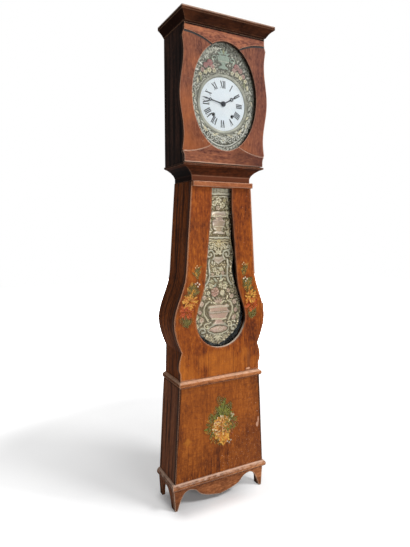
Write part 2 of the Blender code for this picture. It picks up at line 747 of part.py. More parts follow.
def seat_board(wood):
    low = COVE_HIGH + SEAT
    under = SEAT_TOP - SEAT_THICK
    inner = SEAT_HALF - PANEL
    loop = mirrored([(SEAT_HALF, SEAT_TOP), (SEAT_HALF, low), (inner, low), (inner, under)])
    seat = piece("seat_board", prism([loop], CAGE_FRONT - 0.002, BOARD_FRONT - SEAT, place_y()), wood)
    slots = [prism([line_slot(side)], under - 0.01, SEAT_TOP + 0.01, place_z()) for side in (-1, 1)]
    combine(seat, slots, "DIFFERENCE")


def line_slot(side):
    return rectangle(side * LINE_X - 0.012, LINE_Y - 0.012, side * LINE_X + 0.012, LINE_Y + 0.012)


# Doors

def joint_line(level, bend):
    """Curved joint of a rail and a stile, from the outer edge to the oval; bend is -1 down, 1 up."""
    outer = hood_half(level)

    def height(x):
        run = outer - x
        return level + bend * (JOINT_RADIUS - math.sqrt(JOINT_RADIUS ** 2 - run * run))

    def oval(x):
        return OVAL_Z - bend * OVAL_RISE * math.sqrt(1 - (x / OVAL_HALF) ** 2)

    inside, outside = 0.0, OVAL_HALF
    for _ in range(40):
        middle = (inside + outside) / 2
        if (height(middle) - oval(middle)) * bend > 0:
            inside = middle
        else:
            outside = middle
    return [(x, height(x)) for x in spread(outer, inside, 6)]


def oval_run(start, end, count):
    """Points on the oval between two points of it, ends left out."""
    angles = [math.atan2((z - OVAL_Z) / OVAL_RISE, x / OVAL_HALF) for x, z in (start, end)]
    return [
        (OVAL_HALF * math.cos(a), OVAL_Z + OVAL_RISE * math.sin(a))
        for a in spread(angles[0], angles[1], count)[1:-1]
    ]


def hood_rail(name, bend, wood):
    """Top rail for a bend of -1, bottom rail for a bend of 1."""
    end = HOOD_DOOR_HIGH if bend < 0 else HOOD_DOOR_LOW
    level = OVAL_Z - bend * JOINT_RISE
    block = HOOD_MID - bend * BLOCK_RISE
    line = [(BLOCK_HALF, end), (BLOCK_HALF, block)] + joint_line(level, bend)
    last = line[-1]
    line += oval_run(last, (-last[0], last[1]), 12)[:6]
    rail = piece(name, prism([mirrored(line)], HOOD_FRONT, HOOD_DOOR_BACK, place_y()), wood, hood_pivot())
    combine(rail, [oval_rebate()], "DIFFERENCE")


def hood_stile(name, side, wood):
    top = joint_line(OVAL_Z + JOINT_RISE - SEAT, -1)
    low = joint_line(OVAL_Z - JOINT_RISE + SEAT, 1)
    horns = [HOOD_MID + HORN_RISE, HOOD_MID - HORN_RISE]
    levels = spread(horns[0], HOOD_MID + BITE_RISE, 4)
    levels += spread(HOOD_MID + BITE_RISE, HOOD_MID - BITE_RISE, 14)[1:]
    levels += spread(HOOD_MID - BITE_RISE, horns[1], 4)[1:]
    loop = list(reversed(top)) + [(hood_half(z), z) for z in levels] + low
    loop += oval_run(low[-1], top[-1], 20)
    loop = [(side * x, z) for x, z in loop]
    front = HOOD_FRONT + RAIL_PROUD
    stile = piece(name, prism([loop], front, HOOD_DOOR_BACK, place_y()), wood, hood_pivot())
    cuts = [oval_rebate()]
    if side > 0:
        for z in hood_hinge_levels():
            reach = BARREL_LENGTH + 0.001
            room = circle(BARREL_RADIUS + PLAY, 10)
            cuts.append(prism([room], z - reach, z + reach, place_z(HOOD_AXIS)))
            cuts.append(door_mortise(HOOD_AXIS, z, HOOD_AXIS[0] - DOOR_TANG))
    combine(stile, cuts, "DIFFERENCE")


def oval_rebate():
    floor = HOOD_DOOR_BACK - REBATE_DEPTH
    return prism([oval_outline(REBATE_LAP)], floor, HOOD_DOOR_BACK + 0.01, place_y())


def hood_pivot():
    return HOOD_AXIS[0], HOOD_AXIS[1], 0.0


def trunk_pivot():
    return TRUNK_AXIS[0], TRUNK_AXIS[1], 0.0


def hood_door(wood, glass):
    hood_rail("hood_top_rail", -1, wood)
    hood_rail("hood_bottom_rail", 1, wood)
    hood_stile("hood_stile_left", -1, wood)
    hood_stile("hood_stile_right", 1, wood)
    floor = HOOD_DOOR_BACK - REBATE_DEPTH + SEAT
    pane = prism([oval_outline(REBATE_LAP - SEAT)], floor, floor + GLASS_THICK, place_y())
    piece("hood_glass", pane, glass, hood_pivot())


def trunk_door(wood, glass):
    outline = trunk_door_outline()
    floor = TRUNK_DOOR_BACK - REBATE_DEPTH
    layers = [([outline, opening_outline(0.0)], TRUNK_FRONT), ([outline, opening_outline(REBATE_LAP)], floor)]
    body = stack(staged(layers, TRUNK_DOOR_BACK), place_y())
    door = piece("trunk_door", body, wood, trunk_pivot())
    cuts = [door_mortise(TRUNK_AXIS, z, trunk_half(z) - DOOR_TANG) for z in trunk_hinge_levels()]
    combine(door, cuts, "DIFFERENCE")
    pane = prism([opening_outline(REBATE_LAP - SEAT)], floor + SEAT, floor + SEAT + GLASS_THICK, place_y())
    piece("trunk_glass", pane, glass, trunk_pivot())
    low = (-LATH_HALF, BACK - LATH_DEPTH, TRUNK_DOOR_TOP - LATH_HEIGHT)
    lath = box(low, (LATH_HALF, TRUNK_FRONT - SEAT, TRUNK_DOOR_TOP))
    piece("trunk_top_lath", lath, wood, trunk_pivot())


# Hinges

def hood_hinge_levels():
    return HOOD_MID - HOOD_HINGE_RISE, HOOD_MID + HOOD_HINGE_RISE


def trunk_hinge_levels():
    return BELLY_Z - TRUNK_HINGE_RISE, BELLY_Z + TRUNK_HINGE_RISE


def trunk_tang_end(z):
    """Inner end of a case tang, short of the inner face of the bent side all over its height."""
    middle = z - BARREL_LENGTH / 2
    widest = max(side_half(middle - TANG_HEIGHT / 2), side_half(middle + TANG_HEIGHT / 2))
    return widest - SIDE_BOARD + TANG_STOP


def tang(axis, end, side, middle, room):
    """Flat tang from a barrel into the wood; room makes it larger for the mortise."""
    y = axis[1] + side * TANG_OFFSET
    low = (end - room, y - TANG / 2 - room, middle - TANG_HEIGHT / 2 - room)
    return box(low, (axis[0], y + TANG / 2 + room, middle + TANG_HEIGHT / 2 + room))


def case_mortise(axis, z, end):
    return tang(axis, end, 1, z - BARREL_LENGTH / 2, SEAT)


def door_mortise(axis, z, end):
    return tang(axis, end, -1, z + BARREL_LENGTH / 2, SEAT)


def hinge(name, axis, z, case_end, door_end, iron):
    """Case half with its pin, and the door half that lifts off it."""
    low, parting = z - BARREL_LENGTH, z + SEAT
    profile = [(0.0, low), (BARREL_RADIUS, low), (BARREL_RADIUS, z), (PIN_RADIUS, z)]
    profile += [(PIN_RADIUS, z + PIN_LENGTH), (0.0, z + PIN_LENGTH)]
    half = piece(f"{name}_case_half", turned(profile, place_z(axis), 10), iron)
    combine(half, [tang(axis, case_end, 1, z - BARREL_LENGTH / 2, 0.0)], "UNION")

    socket = PIN_RADIUS + PLAY
    end = z + PIN_LENGTH + 0.001
    profile = [(0.0, end), (socket, end), (socket, parting), (BARREL_RADIUS, parting)]
    profile += [(BARREL_RADIUS, z + BARREL_LENGTH), (0.0, z + BARREL_LENGTH)]
    half = piece(f"{name}_door_half", turned(profile, place_z(axis), 10), iron)
    lift = tang(axis, door_end, -1, z + BARREL_LENGTH / 2, 0.0)
    combine(half, [lift], "UNION")


def hinges(iron):
    for level, z in zip(("lower", "upper"), hood_hinge_levels()):
        end = HOOD_HALF - BOARD + TANG_STOP
        hinge(f"hood_hinge_{level}", HOOD_AXIS, z, end, HOOD_AXIS[0] - DOOR_TANG, iron)
    for level, z in zip(("lower", "upper"), trunk_hinge_levels()):
        hinge(f"trunk_hinge_{level}", TRUNK_AXIS, z, trunk_tang_end(z), trunk_half(z) - DOOR_TANG, iron)


# Dial and hands

def oval_reach(angle):
    """Distance from the dial centre to the edge of the surround, along an angle."""
    wide, tall = OVAL_HALF + SURROUND_LAP, OVAL_RISE + SURROUND_LAP
    ux, uz = math.cos(angle), math.sin(angle)
    drop = DIAL_Z - OVAL_Z
    a = (ux / wide) ** 2 + (uz / tall) ** 2
    b = 2 * drop * uz / tall ** 2
    c = (drop / tall) ** 2 - 1
    return (-b + math.sqrt(b * b - 4 * a * c)) / (2 * a)


def dial_surround(brass):
    """Pressed sheet: a raised ring round the dial, and a pillowed field out to the oval."""
    front = SURROUND_BACK - SURROUND_THICK
    crest = (RING_INNER + RING_OUTER) / 2
    bm = bmesh.new()
    columns = []
    for angle in spread(0.0, 2 * math.pi, 36)[:-1]:
        reach = oval_reach(angle)
        rows = [(RING_INNER, 0.0), (crest, RING_RISE), (RING_OUTER, 0.0)]
        rows += [(RING_OUTER + (reach - RING_OUTER) * 0.5, FIELD_RISE), (reach, 0.0)]
        ux, uz = math.cos(angle), math.sin(angle)
        faces = []
        for shift in (0.0, SURROUND_THICK):
            faces.append([bm.verts.new((r * ux, front - h + shift, DIAL_Z + r * uz)) for r, h in rows])
        columns.append(faces[0] + list(reversed(faces[1])))
    for column, after in zip(columns, columns[1:] + columns[:1]):
        add_walls(bm, column, after)
    piece("dial_surround", bm, brass, smooth=True)


def enamel_dial(enamel):
    hole = HOUR_TUBE + 0.0013
    rows = [(hole, 0.0), (DIAL_RADIUS * 0.6, 0.34), (DIAL_RADIUS, 1.0)]
    profile = [(r, DIAL_FRONT + DIAL_DOME * share) for r, share in rows]
    profile += [(r, y + DIAL_THICK) for r, y in reversed(profile)]
    body = turned(profile, place_y(CANNON), 40, hollow=True)
    dial = piece("enamel_dial", body, enamel, smooth=True)
    holes = []
    for at in (GOING, STRIKE):
        holes.append(prism([circle(WIND_HOLE, 10)], DIAL_FRONT - 0.01, DIAL_FRONT + 0.02, place_y(at)))
    combine(dial, holes, "DIFFERENCE")


def hand_outline(reach, hub, ring):
    """Right half of a pierced hand, from its tip down to its hub, pointing along +V."""
    eye = reach * 0.62
    half = [(0.0, reach), (0.0016, reach * 0.90), (0.0035, reach * 0.80), (0.0012, eye + ring * 1.05)]
    turn = spread(math.pi * 0.12, math.pi * 0.88, 6)
    half += [(ring * math.sin(a), eye + ring * math.cos(a)) for a in turn]
    half += [(0.0022, reach * 0.40), (0.0026, hub * 1.2)]
    half += [(hub * math.sin(a), hub * math.cos(a)) for a in spread(math.pi * 0.2, math.pi, 6)]
    return mirrored(half), circle(ring * 0.52, 10, (0.0, eye))


def hand(name, reach, hub, ring, bore, angle, front, steel):
    outline, eye = hand_outline(reach, hub, ring)
    loops = [outline, eye, circle(bore, 12)]
    turn = math.radians(angle)
    cosine, sine = math.cos(turn), math.sin(turn)
    loops = [[(u * cosine + v * sine, v * cosine - u * sine) for u, v in loop] for loop in loops]
    body = prism(loops, front, front + HAND_THICK, place_y(CANNON))
    piece(name, body, steel, (CANNON[0], front, CANNON[1]))


# Wheels and arbors

def wheel_loop(teeth, module, phase):
    """Pointed teeth; a tooth stands at the phase angle."""
    radius = module * teeth / 2
    tip, root = radius + ADDENDUM * module, radius - DEDENDUM * module
    pitch = 2 * math.pi / teeth
    loop = []
    for i in range(teeth):
        for r, a in ((tip, phase + i * pitch), (root, phase + (i + 0.5) * pitch)):
            loop.append((r * math.cos(a), r * math.sin(a)))
    return loop


def pinion_loop(leaves, module, phase):
    """Thin leaves; a gap lies at the phase angle."""
    radius = module * leaves / 2
    tip, root = radius + ADDENDUM * module, radius - DEDENDUM * module
    pitch = 2 * math.pi / leaves
    loop = []
    for i in range(leaves):
        for r, share in ((root, 0.29), (tip, 0.40), (tip, 0.60), (root, 0.71)):
            a = phase + (i + share) * pitch
            loop.append((r * math.cos(a), r * math.sin(a)))
    return loop


def crossings(hub, rim, arms=4):
    """Openings between the arms of a wheel."""
    loops = []
    gap = 2 * math.pi / arms
    for i in range(arms):
        outer = [(rim, a) for a in spread((i + 0.12) * gap, (i + 0.88) * gap, 3)]
        inner = [(hub, a) for a in spread((i + 0.78) * gap, (i + 0.22) * gap, 1)]
        loops.append([(r * math.cos(a), r * math.sin(a)) for r, a in outer + inner])
    return loops


def direction(start, end):
    return math.atan2(end[1] - start[1], end[0] - start[0])


def pivot_of(at):
    return at[0], CAGE_FRONT, at[1]


def great_wheel(name, at, mesh_with, brass):
    loops = [wheel_loop(GREAT_TEETH, GREAT_MODULE, direction(at, mesh_with))]
    loops.append(bore(GREAT_ARBOR))
    piece(name, prism(loops, GREAT_FRONT, GREAT_FRONT + CAGE_PLATE, place_y(at)), brass, pivot_of(at))


def drum(name, at, iron):
    square = circle(0.0042, 4, turn=math.pi / 4)
    arbor, barrel = circle(WIND_ARBOR, SIDES), circle(DRUM_RADIUS)
    fore, aft = circle(DRUM_RADIUS + 0.004), circle(DRUM_RADIUS + 0.004)
    seat, pivot = circle(GREAT_ARBOR, SIDES), circle(WIND_ARBOR - 0.001, SIDES)
    start = DRUM_FRONT + FLANGE
    stages = [
        ([square], DIAL_FRONT + 0.002),
        ([arbor], CAGE_FRONT - 0.012),
        ([fore], DRUM_FRONT),
        ([barrel], start),
        ([aft], start + DRUM_LENGTH), ([seat], DRUM_REAR), ([pivot], GREAT_FRONT + CAGE_PLATE + 0.004),
    ]
    piece(name, stack(staged(stages, CAGE_REAR + 0.002), place_y(at)), iron, pivot_of(at))


def staged(stages, end):
    """Sections from (loops, start) pairs, each running on to the start of the next."""
    starts = [start for _, start in stages] + [end]
    return [(loops, starts[i], starts[i + 1]) for i, (loops, _) in enumerate(stages)]


def centre_arbor(brass):
    thin = circle(CENTRE_ARBOR, SIDES)
    neck = circle(CENTRE_ARBOR, SIDES)
    tail = circle(CENTRE_ARBOR, SIDES)
    leaves = pinion_loop(LEAVES, GREAT_MODULE, direction(CENTRE, GOING))
    wheel = [wheel_loop(CENTRE_TEETH, CENTRE_MODULE, direction(CENTRE, THIRD))]
    rim = CENTRE_MODULE * CENTRE_TEETH / 2
    wheel += crossings(rim * 0.25, rim * 0.84)
    stages = [
        ([thin], CANNON_FRONT - 0.002),
        ([leaves], GREAT_FRONT - 0.003),
        ([neck], GREAT_FRONT - 0.003 + PINION_LENGTH),
        (wheel, CENTRE_FRONT), ([tail], CENTRE_FRONT + WHEEL_THICK),
    ]
    piece("centre_arbor", stack(staged(stages, CAGE_REAR + 0.001), place_y(CENTRE)), brass, pivot_of(CENTRE))


def third_arbor(brass):
    thin = circle(THIRD_ARBOR, SIDES)
    neck = circle(THIRD_ARBOR, SIDES)
    tail = circle(THIRD_ARBOR, SIDES)
    leaves = pinion_loop(LEAVES, CENTRE_MODULE, direction(THIRD, CENTRE))
    wheel = [wheel_loop(THIRD_TEETH, THIRD_MODULE, direction(THIRD, ESCAPE))]
    start = CENTRE_FRONT - 0.0035
    stages = [
        ([thin], CAGE_FRONT - 0.0015), (wheel, THIRD_FRONT), ([neck], THIRD_FRONT + WHEEL_THICK),
        ([leaves], start), ([tail], start + PINION_LENGTH - 0.001),
    ]
    piece("third_arbor", stack(staged(stages, CAGE_REAR + 0.001), place_y(THIRD)), brass, pivot_of(THIRD))


def escape_loop():
    """Ratchet teeth, each with one steep flank."""
    pitch = 2 * math.pi / ESCAPE_TEETH
    loop = []
    for i in range(ESCAPE_TEETH):
        for r, share in ((ESCAPE_RADIUS, 0.0), (ESCAPE_RADIUS - 0.004, 0.25)):
            a = (i + share) * pitch
            loop.append((r * math.cos(a), r * math.sin(a)))
    return loop


def escape_wheel(brass):
    thin = circle(ESCAPE_ARBOR, SIDES)
    neck = circle(ESCAPE_ARBOR, SIDES)
    tail = circle(ESCAPE_ARBOR, SIDES)
    leaves = pinion_loop(LEAVES, THIRD_MODULE, direction(ESCAPE, THIRD))
    wheel = [escape_loop()]
    start = THIRD_FRONT - 0.003
    stages = [
        ([thin], CAGE_FRONT - 0.0015), (wheel, ESCAPE_FRONT), ([neck], ESCAPE_FRONT + WHEEL_THICK),
        ([leaves], start), ([tail], start + PINION_LENGTH - 0.001),
    ]
    piece("escape_wheel", stack(staged(stages, CAGE_REAR + 0.001), place_y(ESCAPE)), brass, pivot_of(ESCAPE))


def anchor(steel):
    """Arched pallets over the escape wheel, on an arbor that carries the pendulum in front."""
    drop = ESCAPE[1] - ANCHOR[1]
    inner = ESCAPE_RADIUS + 0.0035
    line = [(0.0, 0.006), (0.012, 0.002), (inner + 0.002, drop * 0.55), (inner + 0.003, drop + 0.002)]
    line += [(inner, drop + 0.001), (inner - 0.003, drop * 0.55), (0.010, -0.006), (0.0, -0.0075)]
    plate = mirrored(line)
    arbor, tail = circle(ANCHOR_ARBOR, SIDES), circle(ANCHOR_ARBOR, SIDES)
    rod_front = BACK - BOB_BACK_DEPTH + SEAT
    stages = [
        ([arbor], rod_front - 0.001),
        ([plate], ESCAPE_FRONT - 0.0005),
        ([tail], ESCAPE_FRONT + WHEEL_THICK + 0.0005),
    ]
    piece("anchor", stack(staged(stages, CAGE_REAR + 0.001), place_y(ANCHOR)), steel, pivot_of(ANCHOR))


def cannon_pinion(steel):
    """Minute arbor with its nut, its motion pinion and the wheel that the transfer wheel drives."""
    nut = circle(0.005, 6)
    arbor, neck = circle(CANNON_ARBOR, SIDES), circle(CANNON_ARBOR + 0.0007, SIDES)
    leaves = pinion_loop(MOTION_PINION, MOTION_MODULE, direction(CANNON, MOTION))
    gap = math.pi / CANNON_TEETH
    wheel = [wheel_loop(CANNON_TEETH, CANNON_MODULE, direction(CANNON, CENTRE) + gap)]
    stages = [
        ([nut], MINUTE_HAND_FRONT - 0.0017),
        ([arbor], MINUTE_HAND_FRONT - SEAT),
        ([leaves], MOTION_FRONT - 0.001),
        ([neck], CANNON_FRONT - 0.001), (wheel, CANNON_FRONT), ([neck], CANNON_FRONT + CAGE_PLATE),
    ]
    body = stack(staged(stages, CAGE_FRONT + CAGE_PLATE + 0.001), place_y(CANNON))
    piece("cannon_pinion", body, steel, pivot_of(CANNON))


def transfer_wheel(brass):
    rim = CANNON_MODULE * TRANSFER_TEETH / 2
    loops = [wheel_loop(TRANSFER_TEETH, CANNON_MODULE, direction(CENTRE, CANNON))]
    loops += crossings(rim * 0.25, rim * 0.82) + [bore(CENTRE_ARBOR)]
    body = prism(loops, CANNON_FRONT, CANNON_FRONT + CAGE_PLATE, place_y(CENTRE))
    piece("transfer_wheel", body, brass, pivot_of(CENTRE))


def motion_wheel(brass):
    hole = bore(STUD)
    leaves = pinion_loop(MOTION_PINION, HOUR_MODULE, direction(MOTION, CANNON))
    wheel = wheel_loop(MOTION_TEETH, MOTION_MODULE, direction(MOTION, CANNON))
    stages = [([leaves, hole], HOUR_FRONT - 0.001), ([wheel, hole], MOTION_FRONT)]
    body = stack(staged(stages, MOTION_FRONT + WHEEL_THICK), place_y(MOTION))
    piece("motion_wheel", body, brass, pivot_of(MOTION))


def hour_wheel(brass):
    hole = bore(CANNON_ARBOR)
    pipe, tail = circle(HOUR_TUBE, SIDES), circle(HOUR_TUBE, SIDES)
    wheel = wheel_loop(HOUR_TEETH, HOUR_MODULE, direction(CANNON, MOTION))
    stages = [
        ([pipe, hole], HOUR_HAND_FRONT),
        ([wheel, hole], HOUR_FRONT),
        ([tail, hole], HOUR_FRONT + WHEEL_THICK),
    ]
    body = stack(staged(stages, MOTION_FRONT - 0.001 - SEAT), place_y(CANNON))
    piece("hour_wheel", body, brass, pivot_of(CANNON))


def pin_wheel(brass):
    """Strike wheel whose pins lift the hammer."""
    arbor, neck, tail = (circle(CENTRE_ARBOR, SIDES) for _ in range(3))
    leaves = pinion_loop(LEAVES, GREAT_MODULE, direction(PINS, STRIKE))
    disc = [circle(0.030, 24)]
    stages = [
        ([arbor], CAGE_FRONT - 0.0015),
        ([leaves], GREAT_FRONT - 0.003),
        ([neck], GREAT_FRONT - 0.003 + PINION_LENGTH),
        (disc, CENTRE_FRONT),
        ([tail], CENTRE_FRONT + WHEEL_THICK),
    ]
    wheel = piece("pin_wheel", stack(staged(stages, CAGE_REAR + 0.001), place_y(PINS)), brass, pivot_of(PINS))
    rear = CENTRE_FRONT + WHEEL_THICK
    pins = []
    for x, z in circle(0.026, 6, PINS):
        pins.append(prism([circle(0.0015, 6)], rear - 0.001, rear + 0.004, place_y((x, z))))
    combine(wheel, pins, "UNION")


# Movement

def cage_gaps():
    """Openings between the upright bars of both frames."""
    low, high = CAGE_LOW + POST, CAGE_TOP - POST
    outer = CAGE_HALF - POST
    gaps = [
        (-outer, low, -WIND_X - BAR, high),
        (-WIND_X + BAR, low, -BAR, high),
        (BAR, low, WIND_X - BAR, THIRD[1] - BAR),
        (BAR, THIRD[1] + BAR, WIND_X - BAR, high),
        (WIND_X + BAR, low, outer, high),
    ]
    return [prism([rectangle(*gap)], CAGE_FRONT - 0.01, CAGE_REAR + 0.01, place_y()) for gap in gaps]


def cage_holes():
    """Pivot holes in both frames, and slots for the lines in the floor."""
    start, end = CAGE_FRONT - 0.01, CAGE_REAR + 0.01
    cuts = []
    through = [(CENTRE, CENTRE_ARBOR), (PINS, CENTRE_ARBOR), (THIRD, THIRD_ARBOR), (ESCAPE, ESCAPE_ARBOR)]
    through.append((ANCHOR, ANCHOR_ARBOR))
    front = [(GOING, WIND_ARBOR), (STRIKE, WIND_ARBOR), (CANNON, CANNON_ARBOR + 0.0007)]
    rear = [(GOING, WIND_ARBOR - 0.001), (STRIKE, WIND_ARBOR - 0.001)]
    for holes, first, last in ((through, start, end), (front, start, start + 0.02), (rear, end - 0.02, end)):
        cuts += [prism([bore(radius, 10)], first, last, place_y(at)) for at, radius in holes]
    cuts += [prism([line_slot(side)], CAGE_LOW - 0.01, CAGE_LOW + 0.02, place_z()) for side in (-1, 1)]
    return cuts


def movement_cage(iron):
    """Two upright frames between a floor and a roof, with the studs and posts that stand on them."""
    edge = CAGE_PLATE / 4
    plates = []
    for level in (CAGE_LOW + edge, CAGE_TOP - CAGE_PLATE - edge):
        near = (-CAGE_HALF + edge, CAGE_FRONT + edge, level)
        plates.append(box(near, (CAGE_HALF - edge, CAGE_REAR - edge, level + CAGE_PLATE)))
    uprights = []
    for start in (CAGE_FRONT, CAGE_REAR - CAGE_PLATE):
        uprights.append(box((-CAGE_HALF, start, CAGE_LOW), (CAGE_HALF, start + CAGE_PLATE, CAGE_TOP)))

    inside = CAGE_FRONT + CAGE_PLATE / 2
    studs = [prism([circle(STUD, SIDES)], HOUR_FRONT - 0.002, inside, place_y(MOTION))]
    foot_x = CAGE_HALF - POST / 2
    foot_z = math.sqrt((RING_OUTER + 0.0005) ** 2 - foot_x ** 2)
    for x, z in rectangle(-foot_x, DIAL_Z - foot_z, foot_x, DIAL_Z + foot_z):
        studs.append(prism([circle(0.003, SIDES)], SURROUND_BACK + SEAT, inside, place_y((x, z))))
    apex = CAGE_TOP + BELL_LIFT + BELL_HEIGHT - BELL_SHELL - SEAT
    studs.append(prism([circle(0.004, SIDES)], CAGE_TOP - 0.003, apex, place_z((0.0, LINE_Y))))
    back = LINE_Y + HAMMER_THICK / 2 + PLAY
    near = (-HAMMER_X - 0.006, back, CAGE_TOP - 0.003)
    studs.append(box(near, (-HAMMER_X + 0.006, back + CAGE_PLATE, CAGE_TOP + 0.016)))
    at = (-HAMMER_X, CAGE_TOP + 0.010)
    pin = prism([circle(HAMMER_PIN, SIDES)], back - HAMMER_THICK - 0.001, back + 0.002, place_y(at))

    cage = piece("movement_cage", merged(uprights), iron)
    combine(cage, [merged(plates)], "UNION")
    combine(cage, [merged(cage_gaps())], "DIFFERENCE")
    combine(cage, [merged(cage_holes())], "DIFFERENCE")
    combine(cage, [merged(studs), pin], "UNION")


def bell(bronze):
    low = CAGE_TOP + BELL_LIFT
    shape = [(0.97, 0.0), (1.0, 0.10), (0.90, 0.42), (0.70, 0.74), (0.40, 0.93)]
    outer = [(BELL_RADIUS * r, low + BELL_HEIGHT * h) for r, h in shape]
    inner = [(r - BELL_SHELL, z - BELL_SHELL * 0.6) for r, z in reversed(outer[1:])]
    rim = (outer[0][0] - BELL_SHELL, low)
    crown = low + BELL_HEIGHT
    profile = [(0.0, crown - BELL_SHELL)] + inner + [rim] + outer + [(0.0, crown)]
    piece("bell", turned(profile, place_z((0.0, LINE_Y)), 18), bronze, smooth=True)


def hammer(steel):
    at = (-HAMMER_X, CAGE_TOP + 0.010)
    gap = 0.002
    face = HAMMER_X - BELL_RADIUS - gap
    rim = BELL_LIFT + BELL_HEIGHT * 0.10 - 0.010
    loop = [(-0.020, -0.004), (0.004, -0.006), (0.007, 0.0), (face - 0.010, rim - 0.006), (face, rim - 0.006)]
    loop += [(face, rim + 0.006), (face - 0.012, rim + 0.006), (0.002, 0.007), (-0.005, 0.005), (-0.020, 0.0)]
    loops = [loop, bore(HAMMER_PIN)]
    start = LINE_Y - HAMMER_THICK / 2
    body = prism(loops, start, start + HAMMER_THICK, place_y(at))
    piece("hammer", body, steel, (at[0], LINE_Y, at[1]))


# Pendulum and weights

def pendulum_rod(steel):
    """Flat rod hung on the anchor arbor, opened out round the hand arbor and the motion stud."""
    start = BACK - BOB_BACK_DEPTH + SEAT
    eye = 0.008
    half = SWING_CLEARANCE + 0.005
    high, low = MOTION[1] + 0.022, CANNON[1] - 0.024
    line = [(eye * math.sin(a), ANCHOR[1] + eye * math.cos(a)) for a in spread(0.0, math.pi * 0.8, 4)]
    line += [(ROD_HALF, high + 0.008), (half, high - 0.004), (half, low + 0.004), (ROD_HALF, low - 0.010)]
    line.append((ROD_HALF, ROD_END))
    wide = SWING_CLEARANCE
    room = mirrored([(ROD_HALF, high), (wide, high - 0.008), (wide, low + 0.008), (ROD_HALF, low)])
    loops = [mirrored(line), room, circle(ANCHOR_ARBOR + SEAT, SIDES, ANCHOR)]
    piece("pendulum_rod", prism(loops, start, start + ROD_THICK, place_y()), steel, pivot_of(ANCHOR))


def pendulum_bob(brass):
    """Embossed front: a flat back, and a front that swells with its width."""
    back = BACK - BOB_BACK_DEPTH
    shares = [math.sin(math.pi / 2 * s) for s in spread(-1.0, 1.0, 8)]
    bm = bmesh.new()
    fronts, backs = [], []
    outline = [(half, TRUNK_TOP - drop) for half, drop in BOB_OUTLINE]
    for half, z in curve_through(outline, 3):
        swell = BOB_RISE * min(half / BOB_HALF, 1.0)
        row = [(half * s, back - BOB_EDGE - swell * (1 - s * s), z) for s in shares]
        fronts.append([bm.verts.new(co) for co in row])
        backs.append([bm.verts.new((side * half, back, z)) for side in (-1, 1)])
    loops = [front + list(reversed(ends)) for front, ends in zip(fronts, backs)]
    for loop, after in zip(loops, loops[1:]):
        add_walls(bm, loop, after)
    for loop in (loops[0], loops[-1]):
        bm.faces.new(loop)
    piece("pendulum_bob", bm, brass, pivot_of(ANCHOR), smooth=True)


def weight(name, side, iron):
    shoulder = WEIGHT_LOW + WEIGHT_BODY
    profile = [(0.0, WEIGHT_LOW), (WEIGHT_RADIUS * 0.85, WEIGHT_LOW), (WEIGHT_RADIUS, WEIGHT_LOW + 0.008)]
    profile += [(WEIGHT_RADIUS, shoulder - 0.016), (WEIGHT_RADIUS * 0.8, shoulder - 0.005), (0.005, shoulder)]
    profile += [(0.003, shoulder + 0.012), (0.006, shoulder + 0.018), (0.003, WEIGHT_TOP), (0.0, WEIGHT_TOP)]
    at = (side * LINE_X, LINE_Y)
    piece(name, turned(profile, place_z(at), 16), iron, (*at, WEIGHT_TOP), smooth=True)


def line(name, side, hemp):
    at = (side * LINE_X, LINE_Y)
    body = prism([circle(LINE_RADIUS, 8)], WEIGHT_TOP + SEAT, GOING[1], place_z(at))
    piece(name, body, hemp, (*at, GOING[1]))


def main():
    for obj in list(bpy.data.objects):
        bpy.data.objects.remove(obj)
    front_wood = finish("grained_pine", (0.40, 0.16, 0.055), 0.55, 0.0)
    side_wood = finish("dark_pine", (0.24, 0.10, 0.045), 0.6, 0.0)
    plain_wood = finish("raw_pine", (0.50, 0.36, 0.20), 0.8, 0.0)
    glass = finish("window_glass", (0.90, 0.94, 0.92), 0.05, 0.0)
    pressed = finish("pressed_brass", (0.55, 0.47, 0.26), 0.42, 0.9)
    brass = finish("clock_brass", (0.72, 0.55, 0.22), 0.35, 1.0)
    enamel = finish("white_enamel", (0.86, 0.88, 0.88), 0.15, 0.0)
    steel = finish("dark_steel", (0.10, 0.10, 0.11), 0.4, 0.9)
    iron = finish("forged_iron", (0.12, 0.11, 0.10), 0.6, 0.8)
    bronze = finish("bell_bronze", (0.60, 0.45, 0.20), 0.3, 1.0)
    hemp = finish("hemp_line", (0.55, 0.45, 0.30), 0.9, 0.0)

    case_frames(side_wood)
    back_board(plain_wood)
    hood_case(side_wood)
    trunk_case(side_wood)
    base_case(front_wood)
    skirts(front_wood)
    seat_board(plain_wood)
    hood_door(front_wood, glass)
    trunk_door(front_wood, glass)
    hinges(iron)

    dial_surround(pressed)
    enamel_dial(enamel)
    hand("hour_hand", HOUR_REACH, HOUR_HUB, 0.0085, HOUR_TUBE + SEAT, HOUR_ANGLE, HOUR_HAND_FRONT, steel)
    inner = CANNON_ARBOR + SEAT
    hand("minute_hand", MINUTE_REACH, MINUTE_HUB, 0.0075, inner, MINUTE_ANGLE, MINUTE_HAND_FRONT, steel)
    cannon_pinion(steel)
    transfer_wheel(brass)
    motion_wheel(brass)
    hour_wheel(brass)
    movement_cage(iron)
    great_wheel("going_great_wheel", GOING, CENTRE, brass)
    great_wheel("strike_great_wheel", STRIKE, PINS, brass)
    drum("going_drum", GOING, iron)
    drum("strike_drum", STRIKE, iron)
    centre_arbor(brass)
    third_arbor(brass)
    escape_wheel(brass)
    anchor(steel)
    pin_wheel(brass)
    bell(bronze)
    hammer(steel)

    pendulum_rod(steel)
    pendulum_bob(pressed)
    weight("going_weight", 1, iron)
    weight("strike_weight", -1, iron)
    line("going_line", 1, hemp)
    line("strike_line", -1, hemp)


main()
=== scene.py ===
"""Comtoise clock: finishes, embossed brass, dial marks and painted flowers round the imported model."""
import json
import math
import random

import bmesh
import bpy
import numpy as np
from mathutils import Matrix, Vector

